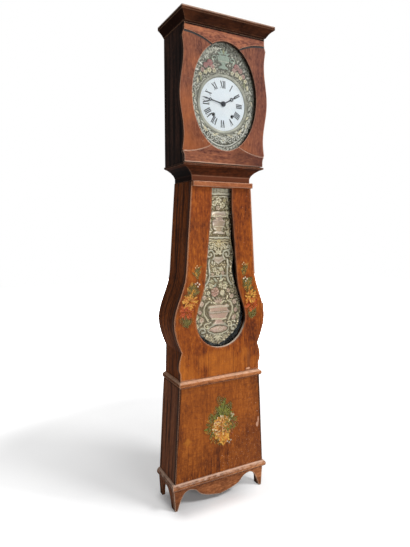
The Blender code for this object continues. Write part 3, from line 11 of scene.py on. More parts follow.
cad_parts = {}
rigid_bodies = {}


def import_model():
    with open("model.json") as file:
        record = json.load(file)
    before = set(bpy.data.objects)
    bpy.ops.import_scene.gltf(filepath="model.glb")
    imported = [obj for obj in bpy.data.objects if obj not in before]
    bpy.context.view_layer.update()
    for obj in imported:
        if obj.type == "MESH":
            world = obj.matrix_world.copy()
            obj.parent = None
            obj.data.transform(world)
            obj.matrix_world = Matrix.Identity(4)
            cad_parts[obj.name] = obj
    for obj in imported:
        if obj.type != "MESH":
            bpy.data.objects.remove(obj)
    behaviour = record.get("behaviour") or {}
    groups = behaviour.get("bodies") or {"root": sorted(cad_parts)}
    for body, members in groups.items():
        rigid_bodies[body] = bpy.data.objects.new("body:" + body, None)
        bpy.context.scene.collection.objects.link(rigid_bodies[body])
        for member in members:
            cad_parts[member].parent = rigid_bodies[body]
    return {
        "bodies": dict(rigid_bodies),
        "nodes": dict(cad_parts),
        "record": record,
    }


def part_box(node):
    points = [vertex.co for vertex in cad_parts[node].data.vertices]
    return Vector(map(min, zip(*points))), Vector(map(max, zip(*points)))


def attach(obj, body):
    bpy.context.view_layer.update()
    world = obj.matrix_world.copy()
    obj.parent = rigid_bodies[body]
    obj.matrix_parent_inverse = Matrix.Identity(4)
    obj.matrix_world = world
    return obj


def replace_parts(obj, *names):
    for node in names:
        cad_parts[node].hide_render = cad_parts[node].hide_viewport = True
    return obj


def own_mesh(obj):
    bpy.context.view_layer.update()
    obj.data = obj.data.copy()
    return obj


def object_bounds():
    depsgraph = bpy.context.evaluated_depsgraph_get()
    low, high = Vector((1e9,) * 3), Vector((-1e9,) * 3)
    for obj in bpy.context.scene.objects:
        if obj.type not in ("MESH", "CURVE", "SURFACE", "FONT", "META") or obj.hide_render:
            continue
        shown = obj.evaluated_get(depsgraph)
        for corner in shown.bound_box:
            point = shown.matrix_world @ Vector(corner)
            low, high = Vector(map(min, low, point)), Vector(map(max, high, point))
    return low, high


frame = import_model()
NODES = frame["nodes"]
CAD_BOX = [list(corner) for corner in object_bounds()]
CASE_BACK, CASE_TOP = CAD_BOX[1][1:]

# Camera at the photograph's place
CAMERA_AT = (-1.105, -1.953, 1.402)
CAMERA_YAW = 0.491046
CAMERA_PITCH = -0.105415
FOCAL_PIXELS = 448.71
IMAGE_HEIGHT = 547
SENSOR = 36.0

# Places on the clock, in metres
DIAL = (0.0, 1.972)
DOOR_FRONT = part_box("trunk_door")[0].y
PANEL_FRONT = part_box("base_front_panel")[0].y
PANEL_SLOPE = 0.0688
PANEL_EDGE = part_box("base_front_panel")[1].x + PANEL_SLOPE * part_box("base_front_panel")[0].z
RING_INNER = 0.1215
RING_OUTER = 0.137
OVAL_MIDDLE = 2.0
OVAL_REACH = (0.1745, 0.2465)
HOOD_DOOR_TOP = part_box("hood_top_rail")[1].z
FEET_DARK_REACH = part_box("skirt_front")[1].z * 0.6
JOINT_RADIUS = 0.300
WIND_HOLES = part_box("going_drum"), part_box("strike_drum")
DRUM_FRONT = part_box("enamel_dial")[1].y + 0.030


def tone(red, green, blue):
    """Linear colour for a screen colour from 0 to 255."""
    parts = []
    for part in (red, green, blue):
        share = part / 255
        parts.append(share / 12.92 if share <= 0.04045 else ((share + 0.055) / 1.055) ** 2.4)
    return (*parts, 1.0)


# Shader maths

class Value:
    """One output of a shader node, with arithmetic that adds Math nodes."""

    def __init__(self, finish, socket):
        self.finish = finish
        self.socket = socket

    def math(self, operation, *others):
        return self.finish.node("ShaderNodeMath", {"operation": operation}, [self, *others])

    def __add__(self, other):
        return self.math("ADD", other)

    __radd__ = __add__

    def __sub__(self, other):
        return self.math("SUBTRACT", other)

    def __rsub__(self, other):
        return self.finish.node("ShaderNodeMath", {"operation": "SUBTRACT"}, [other, self])

    def __mul__(self, other):
        return self.math("MULTIPLY", other)

    __rmul__ = __mul__

    def __truediv__(self, other):
        return self.math("DIVIDE", other)

    def __gt__(self, other):
        return self.math("GREATER_THAN", other)

    def __lt__(self, other):
        return self.math("LESS_THAN", other)

    def __abs__(self):
        return self.math("ABSOLUTE")


class Finish:
    """A node tree under construction; a material's unless another tree is given."""

    def __init__(self, name, tree=None):
        self.material = None
        if tree is None:
            self.material = bpy.data.materials.new(name)
            self.material.use_nodes = True
            tree = self.material.node_tree
        self.tree = tree
        self.tree.nodes.clear()

    def node(self, kind, settings=None, inputs=None, output=0):
        made = self.tree.nodes.new(kind)
        for name, value in (settings or {}).items():
            if name == "stops":
                while len(made.color_ramp.elements) < len(value):
                    made.color_ramp.elements.new(0.5)
                for element, (at, colour) in zip(made.color_ramp.elements, value):
                    element.position = at
                    element.color = colour
            else:
                setattr(made, name, value)
        pairs = inputs.items() if isinstance(inputs, dict) else enumerate(inputs or [])
        for key, value in pairs:
            if isinstance(value, Value):
                self.tree.links.new(value.socket, made.inputs[key])
            else:
                made.inputs[key].default_value = value
        return Value(self, made.outputs[output]) if made.outputs else made

    def place(self):
        return self.node("ShaderNodeTexCoord", output="Object")

    def axes(self, vector):
        made = self.node("ShaderNodeSeparateXYZ", None, [vector])
        return [Value(self, socket) for socket in made.socket.node.outputs]

    def stretch(self, vector, scale):
        return self.node("ShaderNodeMapping", None, {"Vector": vector, "Scale": scale})

    def noise(self, vector, scale, detail=3.0, rough=0.55, bend=0.0):
        inputs = {"Vector": vector, "Scale": scale, "Detail": detail, "Roughness": rough, "Distortion": bend}
        return self.node("ShaderNodeTexNoise", None, inputs)

    def ramp(self, value, *stops):
        return self.node("ShaderNodeValToRGB", {"stops": stops}, [value])

    def step(self, value, low, high):
        settings = {"interpolation_type": "SMOOTHSTEP", "clamp": True}
        return self.node("ShaderNodeMapRange", settings, [value, low, high, 0.0, 1.0])

    def mix(self, factor, first, second, blend="MIX"):
        settings = {"data_type": "RGBA", "blend_type": blend}
        return self.node("ShaderNodeMix", settings, {0: factor, 6: first, 7: second}, output=2)

    def bump(self, height, depth, normal=None, strength=1.0):
        inputs = {"Height": height, "Distance": depth, "Strength": strength}
        if normal is not None:
            inputs["Normal"] = normal
        return self.node("ShaderNodeBump", None, inputs)

    def edges(self, width):
        """Rounded normal, and how near a surface is to an edge."""
        soft = self.node("ShaderNodeBevel", {"samples": 6}, [width])
        flat = self.node("ShaderNodeNewGeometry", output="Normal")
        facing = self.node("ShaderNodeVectorMath", {"operation": "DOT_PRODUCT"}, [soft, flat], output="Value")
        return soft, 1 - facing

    def surface(self, **inputs):
        named = {key.replace("_", " "): value for key, value in inputs.items()}
        shader = self.node("ShaderNodeBsdfPrincipled", None, named)
        self.output(shader)
        return self.material

    def output(self, shader):
        self.node("ShaderNodeOutputMaterial", None, [shader])


# Finishes of the case

UPRIGHT = (1.0, 1.0, 0.06)
ACROSS = (0.06, 1.0, 1.0)
SIDEWAYS = (0.06, 1.0, 0.06)


class Paint:
    """Grained paint over pine: patches, streaks and hairlines along the grain, and wear down to the wood."""

    def __init__(self, name, deep, red, orange, bright, grain=UPRIGHT, edge=0.009):
        f = self.f = Finish(name)
        self.place = f.place()
        self.x, self.y, self.z = f.axes(self.place)
        self.aside, facing, self.up = f.axes(f.node("ShaderNodeTexCoord", output="Normal"))
        self.facing = abs(facing)
        along = f.stretch(self.place, grain)
        self.patch = f.noise(self.place, 5.0, 3.0, 0.55, 0.3)
        self.band = f.noise(along, 58.0, 4.0, 0.6, 0.4)
        self.mottle = f.noise(self.place, 60.0, 3.0, 0.6, 0.4)
        self.hair = f.noise(along, 260.0, 3.0, 0.65, 0.5)
        self.fleck = f.noise(self.place, 330.0, 2.0, 0.7)
        self.rub = f.noise(self.place, 46.0, 4.0, 0.65)
        tick = f.noise(f.stretch(self.place, [part ** 0.35 for part in grain]), 125.0, 3.0, 0.65, 0.2)
        shade = self.patch * 0.24 + self.band * 0.22 + self.mottle * 0.10 + self.hair * 0.10 + tick * 0.34
        self.colour = f.ramp(shade, (0.41, deep), (0.47, red), (0.53, orange), (0.60, bright))
        pores = f.noise(along, 150.0, 4.0, 0.7, 0.3)
        self.lay(f.step(pores, 0.53, 0.68) * 0.55, deep)
        self.lay(f.step(self.fleck, 0.60, 0.74) * 0.4, deep)
        self.rounded, near = f.edges(edge)
        self.bare = f.step(near * 2.4 + self.rub * 0.5, 0.36, 0.64)

    def lay(self, share, colour):
        self.colour = self.f.mix(share, self.colour, colour)

    def shade(self, share, colour, value, low, high):
        """A tone that comes in as a value goes from low to high."""
        self.lay(self.f.step(value, low, high) * share, colour)

    def deepen(self, share, tint, value, low, high):
        """Darkens what lies beneath it as a value goes from low to high; stains and painted shade both use
        it.
        """
        stained = self.f.mix(1.0, self.colour, tint, "MULTIPLY")
        self.lay(self.f.step(value, low, high) * share, stained)

    def chip(self, at_x, at_z, wide, high, ragged):
        """A patch where the paint has come off, with a ragged rim."""
        across = (self.x - at_x) / wide
        along = (self.z - at_z) / high
        near = across * across + along * along + (self.rub - 0.5) * ragged
        self.bare = self.bare.math("MAXIMUM", self.f.step(1 - near, 0.25, 0.6))

    def specks(self, share, colour, where):
        """Fine spots, where a value is above nought."""
        spots = self.f.noise(self.place, 215.0, 1.0, 0.5)
        self.lay(self.f.step(spots, 0.69, 0.73) * self.f.step(where, 0.0, 0.06) * share, colour)

    def darken_near_floor(self):
        """Darker towards the floor, up the feet."""
        self.deepen(0.8, tone(170, 170, 176), FEET_DARK_REACH - self.z + self.rub * 0.04, 0.02, 0.09)

    def rub_and_highlight_top(self, share):
        """Pale wear on the faces that look up, which also paints the highlight from above."""
        self.bare = self.bare.math("MAXIMUM", self.f.step(self.up + self.rub * 0.9, 0.80, 1.25) * share)

    def finish(self, worn, wear, gloss, shine=0.12):
        self.lay(self.f.step(self.f.noise(self.place, 130.0, 3.0, 0.6), 0.68, 0.76) * 0.4 * wear, worn)
        self.lay(self.bare * 0.75 * wear, worn)
        relief = self.band * 0.3 + self.hair * 0.6 + self.fleck * 0.15 - self.bare * 0.4
        normal = self.f.bump(relief, 0.0006, self.rounded, 0.6)
        rough = self.hair * 0.2 + self.bare * 0.2 + gloss
        return self.f.surface(Base_Color=self.colour, Roughness=rough, Normal=normal,
                              Specular_IOR_Level=shine)


def hood_wood(name, palette, worn, grain):
    """Hood door: sooted outer edges, painted shade on the oval's inner faces, a black painted shadow line
    under the cornice, redder towards the right.
    """
    paint = Paint(name, *palette, grain=grain)
    soot = tone(30, 18, 14)
    paint.shade(0.32, tone(96, 50, 44), paint.x + paint.patch * 0.10, 0.14, 0.27)
    paint.shade(0.5, tone(152, 86, 48), paint.patch - paint.x, 0.52, 0.80)
    # Painted shadow: a black line where the cornice shades the top of the door.
    line = HOOD_DOOR_TOP - 0.009, HOOD_DOOR_TOP - 0.004
    paint.shade(1.0, tone(18, 10, 8), paint.z + paint.rub * 0.004, *line)
    paint.shade(0.5, tone(148, 80, 36), 1.95 - paint.z - paint.x * 0.6 + paint.patch * 0.5, 0.30, 0.55)
    paint.bare = paint.bare * (paint.facing > 0.5)
    # Faces turned sideways go dark: soot on the outer edges, painted shade on the oval's inner faces.
    paint.lay((paint.facing < 0.5) * 0.88, soot)
    return paint.finish(worn, 1.0, 0.45)


def lip_wood(name, palette, worn):
    """Bottom rail of the hood door: as the rest, with a pale, chipped lower edge, dark stains and painted
    shade on its edge faces.
    """
    paint = Paint(name, *palette, grain=ACROSS)
    paint.shade(0.5, tone(92, 46, 40), paint.x + paint.patch * 0.10, 0.14, 0.27)
    paint.deepen(0.6, tone(150, 140, 150), paint.patch + paint.x * 0.8, 0.50, 0.66)
    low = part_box("hood_bottom_rail")[0].z
    # Painted shade: the faces that look down or sideways go dark.
    paint.lay((paint.facing < 0.5) * 0.85, tone(34, 20, 15))
    edge = paint.f.step(low + 0.0045 - paint.z + paint.rub * 0.004, 0.0, 0.004) * (paint.facing > 0.5)
    chipped = edge * paint.f.step(paint.patch * 0.6 - paint.x, 0.10, 0.40) * 0.8
    paint.bare = paint.bare.math("MAXIMUM", chipped)
    return paint.finish(worn, 1.0, 0.45)


def painted_wood(name, palette, worn, grain=UPRIGHT, wear=1.0, gloss=0.45, top=0.0, floor_dark=False):
    paint = Paint(name, *palette, grain=grain, edge=0.010)
    # Pale tops: rubbed wear with a painted highlight.
    if top:
        paint.rub_and_highlight_top(top)
    if floor_dark:
        paint.darken_near_floor()
    return paint.finish(worn, wear, gloss)


def case_side_wood(name, palette, worn):
    """Side of the case: darkest along its front edge, redder and lighter low down."""
    paint = Paint(name, *palette, grain=SIDEWAYS)
    paint.shade(0.35, tone(118, 62, 30), 1.15 - paint.z + paint.patch * 0.3, 0.2, 0.75)
    paint.deepen(0.85, tone(116, 104, 96), paint.band * 0.06 - paint.y, 0.03, 0.09)
    streak = paint.f.noise(paint.f.stretch(paint.place, (0.04, 1.0, 0.04)), 55.0, 3.0, 0.7, 0.2)
    paint.deepen(0.95, tone(120, 110, 104), streak, 0.48, 0.62)
    paint.shade(0.2, worn, streak, 0.46, 0.36)
    paint.darken_near_floor()
    return paint.finish(worn, 0.6, 0.6)


def panel_wood(name, palette, worn):
    """Base panel: warmest in its upper middle, dull to the lower right, with chips at its right edge."""
    paint = Paint(name, *palette)
    x, z, f = paint.x, paint.z, paint.f
    across, along = (x + 0.02) / 0.24, (z - 0.47) / 0.22
    paint.shade(0.30, tone(156, 82, 26), 1 - across * across - along * along + paint.patch * 0.6, 0.0, 1.0)
    paint.shade(0.3, tone(98, 50, 30), x - (z - 0.36) * 0.5 + paint.patch * 0.2, 0.16, 0.42)
    slant = f.noise(f.stretch(paint.place, (0.12, 1.0, 0.6)), 190.0, 3.0, 0.6, 0.8)
    paint.lay(f.step(slant, 0.50, 0.64) * 0.35, tone(96, 46, 20))
    rubbed = 1 - abs(x + 0.188) / 0.035 - abs(z - 0.345) / 0.026 + paint.mottle
    paint.shade(0.5, tone(186, 116, 40), rubbed, 0.45, 1.2)
    paint.specks(0.7, tone(222, 190, 166), paint.mottle * 0.6 + x * 0.5 - z * 0.3 - 0.24)
    paint.chip(0.222, 0.352, 0.011, 0.017, 1.6)
    paint.chip(0.229, 0.378, 0.006, 0.020, 1.6)
    paint.bare = paint.bare * (paint.facing > 0.5)
    paint.deepen(0.9, tone(90, 80, 74), abs(x) + z * PANEL_SLOPE, PANEL_EDGE - 0.008, PANEL_EDGE - 0.002)
    return paint.finish(worn, 0.9, 0.45)


def moulding_wood(name, palette, worn):
    """Waist and foot mouldings: rubbed pale on top, with a painted highlight there; painted shade browns them
    on the case's sides and darkens them underneath.
    """
    paint = Paint(name, *palette, grain=ACROSS, edge=0.012)
    paint.rub_and_highlight_top(0.9)
    paint.bare = paint.bare * (paint.rub * 0.9 + 0.35)
    # Painted shade on the faces turned to the case's sides.
    paint.deepen(0.8, tone(170, 160, 150), abs(paint.aside), 0.4, 0.8)
    # Painted shade on the faces that look down.
    paint.deepen(0.9, tone(130, 104, 90), paint.rub * 0.3 - paint.up, 0.45, 0.90)
    return paint.finish(worn, 0.95, 0.45)


def cornice_wood(name, palette):
    """Greyed paint with a pale, dusty top edge; painted shade makes the ends darker than the front."""
    paint = Paint(name, *palette, grain=ACROSS)
    paint.shade(0.4, tone(90, 50, 30), paint.patch, 0.42, 0.60)
    # Painted shade on the end faces.
    paint.deepen(0.9, tone(104, 96, 92), abs(paint.aside), 0.25, 0.6)
    dust = paint.f.step(paint.z + paint.rub * 0.004, CASE_TOP - 0.0055, CASE_TOP - 0.0005)
    paint.lay(dust * (paint.band * 1.4 + 0.1), tone(176, 146, 128))
    return paint.finish(tone(150, 112, 88), 0.8, 0.6, 0.04)


def cove_wood(name, palette):
    """Cove and neck: painted shade makes the ends black; a rubbed line where the cove meets the neck."""
    paint = Paint(name, *palette, grain=ACROSS)
    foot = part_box("neck_cove")[0].z
    paint.shade(0.6, tone(114, 64, 42), foot + 0.026 - paint.z, 0.0, 0.004)
    paint.shade(0.5, tone(30, 17, 11), foot + 0.0055 - paint.z, 0.0, 0.003)
    ridge = paint.f.step(0.0042 - abs(paint.z - foot - 0.0245), 0.0, 0.003)
    paint.lay(ridge * (paint.rub * 0.5 + 0.1), tone(176, 124, 98))
    # Painted shade on the end faces.
    paint.deepen(0.95, tone(66, 58, 56), abs(paint.aside), 0.3, 0.6)
    return paint.finish(tone(190, 142, 116), 0.6, 0.5, 0.06)


def door_wood(name):
    """The trunk door's paint, with its board joints, painted shade on the inner faces of its opening, and the
    pale inner edge of its opening.
    """
    paint = Paint(name, tone(80, 34, 10), tone(120, 56, 15), tone(142, 71, 18), tone(172, 95, 27), edge=0.018)
    f, x, z = paint.f, paint.x, paint.z
    paint.deepen(0.8, tone(236, 222, 226), f.step(z, 1.10, 1.50) * paint.patch, 0.34, 0.56)
    low = f.step(0.80 - z, 0.0, 0.03)
    comb = f.noise(f.stretch(paint.place, (0.12, 1.0, 1.0)), 150.0, 2.0, 0.5, 0.4)
    paint.lay(f.step(0.074 - abs(x), 0.0, 0.006) * low * f.step(comb, 0.44, 0.58) * 0.45, tone(110, 52, 24))
    paint.lay(low * f.step(paint.patch + paint.band * 0.4, 0.62, 0.78) * 0.4, tone(186, 108, 36))
    paint.lay(f.step(0.0018 - abs(abs(x) - 0.073), 0.0, 0.0012) * low * 0.7, tone(62, 28, 16))
    stain = f.step(0.92 - z, 0.0, 0.15) * f.step(x, 0.12, 0.17) * f.step(paint.band, 0.46, 0.62)
    paint.lay(stain * 0.6, tone(82, 44, 32))
    paint.chip(0.160, 0.668, 0.017, 0.007, 1.4)
    aside = paint.facing < 0.5
    inner = (abs(x) < 0.1455) * aside
    paint.bare = paint.bare * (paint.facing > 0.5) * (f.step(abs(x), 0.140, 0.150) * 0.65 + 0.35)
    paint.lay(aside * 0.85, tone(64, 34, 22))
    # Painted shade on the inner faces of the opening.
    paint.lay(inner * 0.6, tone(40, 26, 20))
    paint.lay(inner * f.step(0.93 - z, 0.0, 0.06), tone(226, 204, 184))
    return paint.finish(tone(222, 172, 138), 1.0, 0.42)


def plain_boards(name):
    """Back and seat: bare boards, painted near black inside as shade in the closed case, grey weathered
    planks outside.
    """
    f = Finish(name)
    place = f.place()
    x, y, _ = f.axes(place)
    streak = f.noise(f.stretch(place, (70.0, 70.0, 3.0)), 1.0, 6.0, 0.65, 0.5)
    knots = f.noise(f.stretch(place, (9.0, 9.0, 4.0)), 1.0, 2.0, 0.5, 1.5)
    outside = f.ramp(streak * 0.7 + knots * 0.3, (0.35, tone(92, 66, 44)), (0.65, tone(150, 116, 82)))
    # Painted shade: inside the case the boards are near black.
    inside = f.ramp(streak, (0.35, tone(18, 16, 15)), (0.65, tone(38, 33, 30)))
    colour = f.mix(f.step(y, CASE_BACK - 0.0015, CASE_BACK - 0.0005), inside, outside)
    joint = f.step(0.0018 - abs(abs(x) - 0.066), 0.0, 0.0014)
    colour = f.mix(joint * 0.8, colour, tone(24, 17, 12))
    normal = f.bump(streak - joint * 2.0, 0.0008, None, 0.7)
    return f.surface(Base_Color=colour, Roughness=streak * 0.2 + 0.68, Normal=normal, Specular_IOR_Level=0.2)


def window_glass(name):
    """Thin old sheet glass: clear, with a faint film and a soft reflection."""
    f = Finish(name)
    place = f.place()
    ripple = f.noise(place, 14.0, 2.0, 0.5)
    smear = f.noise(place, 30.0, 4.0, 0.6)
    normal = f.bump(ripple, 0.0015, None, 0.25)
    clear = f.node("ShaderNodeBsdfTransparent", None, [tone(252, 252, 252)])
    gloss = {"Color": tone(235, 240, 238), "Roughness": 0.05, "Normal": normal}
    shine = f.node("ShaderNodeBsdfGlossy", None, gloss)
    facing = f.node("ShaderNodeFresnel", None, {"IOR": 1.30, "Normal": normal})
    share = facing * 0.7 + f.step(smear, 0.45, 0.8) * 0.02
    f.output(f.node("ShaderNodeMixShader", None, [share, clear, shine]))
    return f.material


# Metals

def embossed_brass(name, hollow, low, high, crest, shine, dull):
    """Pressed brass gone grey-green in the hollows, with worn tints on its flowers and leaves, and near-white
    crests that are rubbed metal with a painted highlight.
    """
    f = Finish(name)
    place = f.place()
    tint = f.node("ShaderNodeAttribute", {"attribute_name": "tint"}, output="Color")
    painted = f.node("ShaderNodeAttribute", {"attribute_name": "tint"}, output="Alpha")
    polish = f.node("ShaderNodeAttribute", {"attribute_name": "polish"}, output="Fac")
    cloud = f.noise(place, 22.0, 4.0, 0.6)
    speck = f.noise(place, 170.0, 2.0, 0.6)
    grit = f.noise(place, 330.0, 3.0, 0.65)
    height = polish + speck * 0.6 - 0.30
    colour = f.mix(f.step(height, 0.06, 0.52), hollow, f.ramp(cloud, (0.38, low), (0.62, high)))
    worn = painted * (f.step(grit * 0.4 + cloud * 0.6, 0.34, 0.60) * 0.5 + 0.5)
    colour = f.mix(worn * f.step(polish, 0.15, 0.45) * 0.9, colour, tint)
    # Painted highlight: the highest points turn near white, over the real rub on the crests.
    colour = f.mix(f.step(height, 0.66, 0.96) * (shine - worn * 0.70), colour, crest)
    metal = 0.55 - worn * 0.45
    rough = grit * 0.14 + worn * 0.1 + dull
    normal = f.bump(speck + grit * 0.3, 0.0012, None, 0.6)
    return f.surface(Base_Color=colour, Roughness=rough, Metallic=metal, Normal=normal)


def turned_metal(name, dark, light, rough, metallic, arbor=None):
    """Metal with clouding, fine scratches and grime; an arbor's front end is dark steel."""
    f = Finish(name)
    place = f.place()
    cloud = f.noise(place, 40.0, 4.0, 0.6)
    grit = f.noise(f.stretch(place, (500.0, 90.0, 500.0)), 1.0, 3.0, 0.6)
    colour = f.ramp(cloud * 0.7 + grit * 0.3, (0.36, dark), (0.64, light))
    if arbor is not None:
        colour = f.mix(f.axes(place)[1] < arbor, colour, tone(34, 34, 37))
    normal = f.bump(grit, 0.0002, None, 0.4)
    return f.surface(Base_Color=colour, Roughness=grit * 0.2 + rough, Metallic=metallic, Normal=normal)


def white_enamel(name):
    """Fired enamel: cool white, faintly clouded and pitted, with a glassy coat."""
    f = Finish(name)
    place = f.place()
    cloud = f.noise(place, 16.0, 3.0, 0.5)
    pits = f.noise(place, 300.0, 2.0, 0.6)
    colour = f.ramp(cloud, (0.35, tone(240, 249, 255)), (0.65, tone(246, 252, 255)))
    colour = f.mix(f.step(pits, 0.70, 0.80) * 0.5, colour, tone(168, 176, 190))
    normal = f.bump(cloud + pits * 0.1, 0.0003, None, 0.3)
    return f.surface(Base_Color=colour, Roughness=cloud * 0.1 + 0.16, Normal=normal, Coat_Weight=0.4)


def dial_black(name):
    f = Finish(name)
    wear = f.noise(f.place(), 260.0, 3.0, 0.6)
    colour = f.ramp(wear, (0.40, tone(18, 20, 25)), (0.66, tone(50, 54, 62)))
    return f.surface(Base_Color=colour, Roughness=wear * 0.2 + 0.3)


def brushed_paint(name):
    """Flower painting in oil: the stroke's own tint, streaked and a little rubbed."""
    f = Finish(name)
    place = f.place()
    tint = f.node("ShaderNodeAttribute", {"attribute_name": "tint"}, output="Color")
    laid = f.node("ShaderNodeAttribute", {"attribute_name": "tint"}, output="Alpha")
    hairs = f.noise(f.stretch(place, (260.0, 260.0, 120.0)), 1.0, 3.0, 0.6, 0.6)
    rub = f.noise(place, 120.0, 3.0, 0.6)
    colour = f.mix(f.step(hairs, 0.40, 0.72) * 0.35, tint, tone(104, 62, 26))
    cover = (f.step(rub * 0.6 + hairs * 0.4, 0.66, 0.46) * 0.8 + 0.2) * laid
    normal = f.bump(hairs, 0.0004, None, 0.5)
    return f.surface(Base_Color=colour, Roughness=hairs * 0.2 + 0.45, Normal=normal, Alpha=cover)


def twisted_hemp(name):
    f = Finish(name)
    place = f.place()
    fibre = f.noise(f.stretch(place, (900.0, 900.0, 260.0)), 1.0, 3.0, 0.6, 1.0)
    colour = f.ramp(fibre, (0.36, tone(104, 84, 54)), (0.66, tone(172, 148, 104)))
    return f.surface(Base_Color=colour, Roughness=fibre * 0.1 + 0.8, Normal=f.bump(fibre, 0.0004))


# Mesh helpers

def piece(name, verts, faces, material, body, smooth=False, attributes=None):
    """A finished mesh that rides on a body of the clock."""
    mesh = bpy.data.meshes.new(name)
    mesh.from_pydata([tuple(v) for v in verts], [], faces)
    for label, (kind, values) in (attributes or {}).items():
        layer = mesh.attributes.new(label, kind, "POINT")
        layer.data.foreach_set("color" if kind == "FLOAT_COLOR" else "value", np.ravel(values))
    mesh.update()
    if smooth:
        mesh.shade_smooth()
    mesh.materials.append(material)
    obj = bpy.data.objects.new(name, mesh)
    bpy.context.scene.collection.objects.link(obj)
    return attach(obj, body)


class Sheet:
    """Verts, faces and tints gathered for one thin raised piece."""

    def __init__(self):
        self.verts = []
        self.faces = []
        self.tints = []

    def strip(self, left, right, tints):
        """Closed strip between two runs of (front point, back point); a tint for each pair."""
        start = len(self.verts)
        for (left_front, left_back), (right_front, right_back), tint in zip(left, right, tints):
            self.verts += [left_front, right_front, right_back, left_back]
            self.tints += [tint] * 4
        count = len(left)
        for i in range(count - 1):
            a, b = start + 4 * i, start + 4 * i + 4
            for k in range(4):
                j = (k + 1) % 4
                self.faces.append((a + k, a + j, b + j, b + k))
        last = start + 4 * (count - 1)
        self.faces.append((start + 3, start + 2, start + 1, start))
        self.faces.append((last, last + 1, last + 2, last + 3))

    def ring(self, inner, outer):
        """Closed hoop between two rounds of (front point, back point) that end where they start."""
        start = len(self.verts)
        for (inner_front, inner_back), (outer_front, outer_back) in zip(inner[:-1], outer[:-1]):
            self.verts += [inner_front, outer_front, outer_back, inner_back]
        count = len(inner) - 1
        for i in range(count):
            a, b = start + 4 * i, start + 4 * ((i + 1) % count)
            for k in range(4):
                j = (k + 1) % 4
                self.faces.append((a + k, a + j, b + j, b + k))


def outward(obj):
    """Turns a closed mesh's faces outwards."""
    bm = bmesh.new()
    bm.from_mesh(obj.data)
    bmesh.ops.recalc_face_normals(bm, faces=bm.faces)
    bm.to_mesh(obj.data)
    bm.free()
    return obj


# Embossed brass

def blurred(values, reach):
    for axis in (0, 1):
        values = sum(np.roll(values, shift, axis) for shift in range(-reach, reach + 1)) / (2 * reach + 1)
    return values


def wander(shape, seed, reach, amount):
    """Smooth random offsets, as a hand-held punch leaves them."""
    rough = np.random.default_rng(seed).standard_normal(shape)
    smooth = blurred(blurred(rough, reach), reach)
    return smooth * amount / smooth.std()


def around(at, reach, turn):
    """Point at a distance from another, turned clockwise from straight up."""
    angle = math.radians(turn)
    return at[0] + reach * math.sin(angle), at[1] + reach * math.cos(angle)


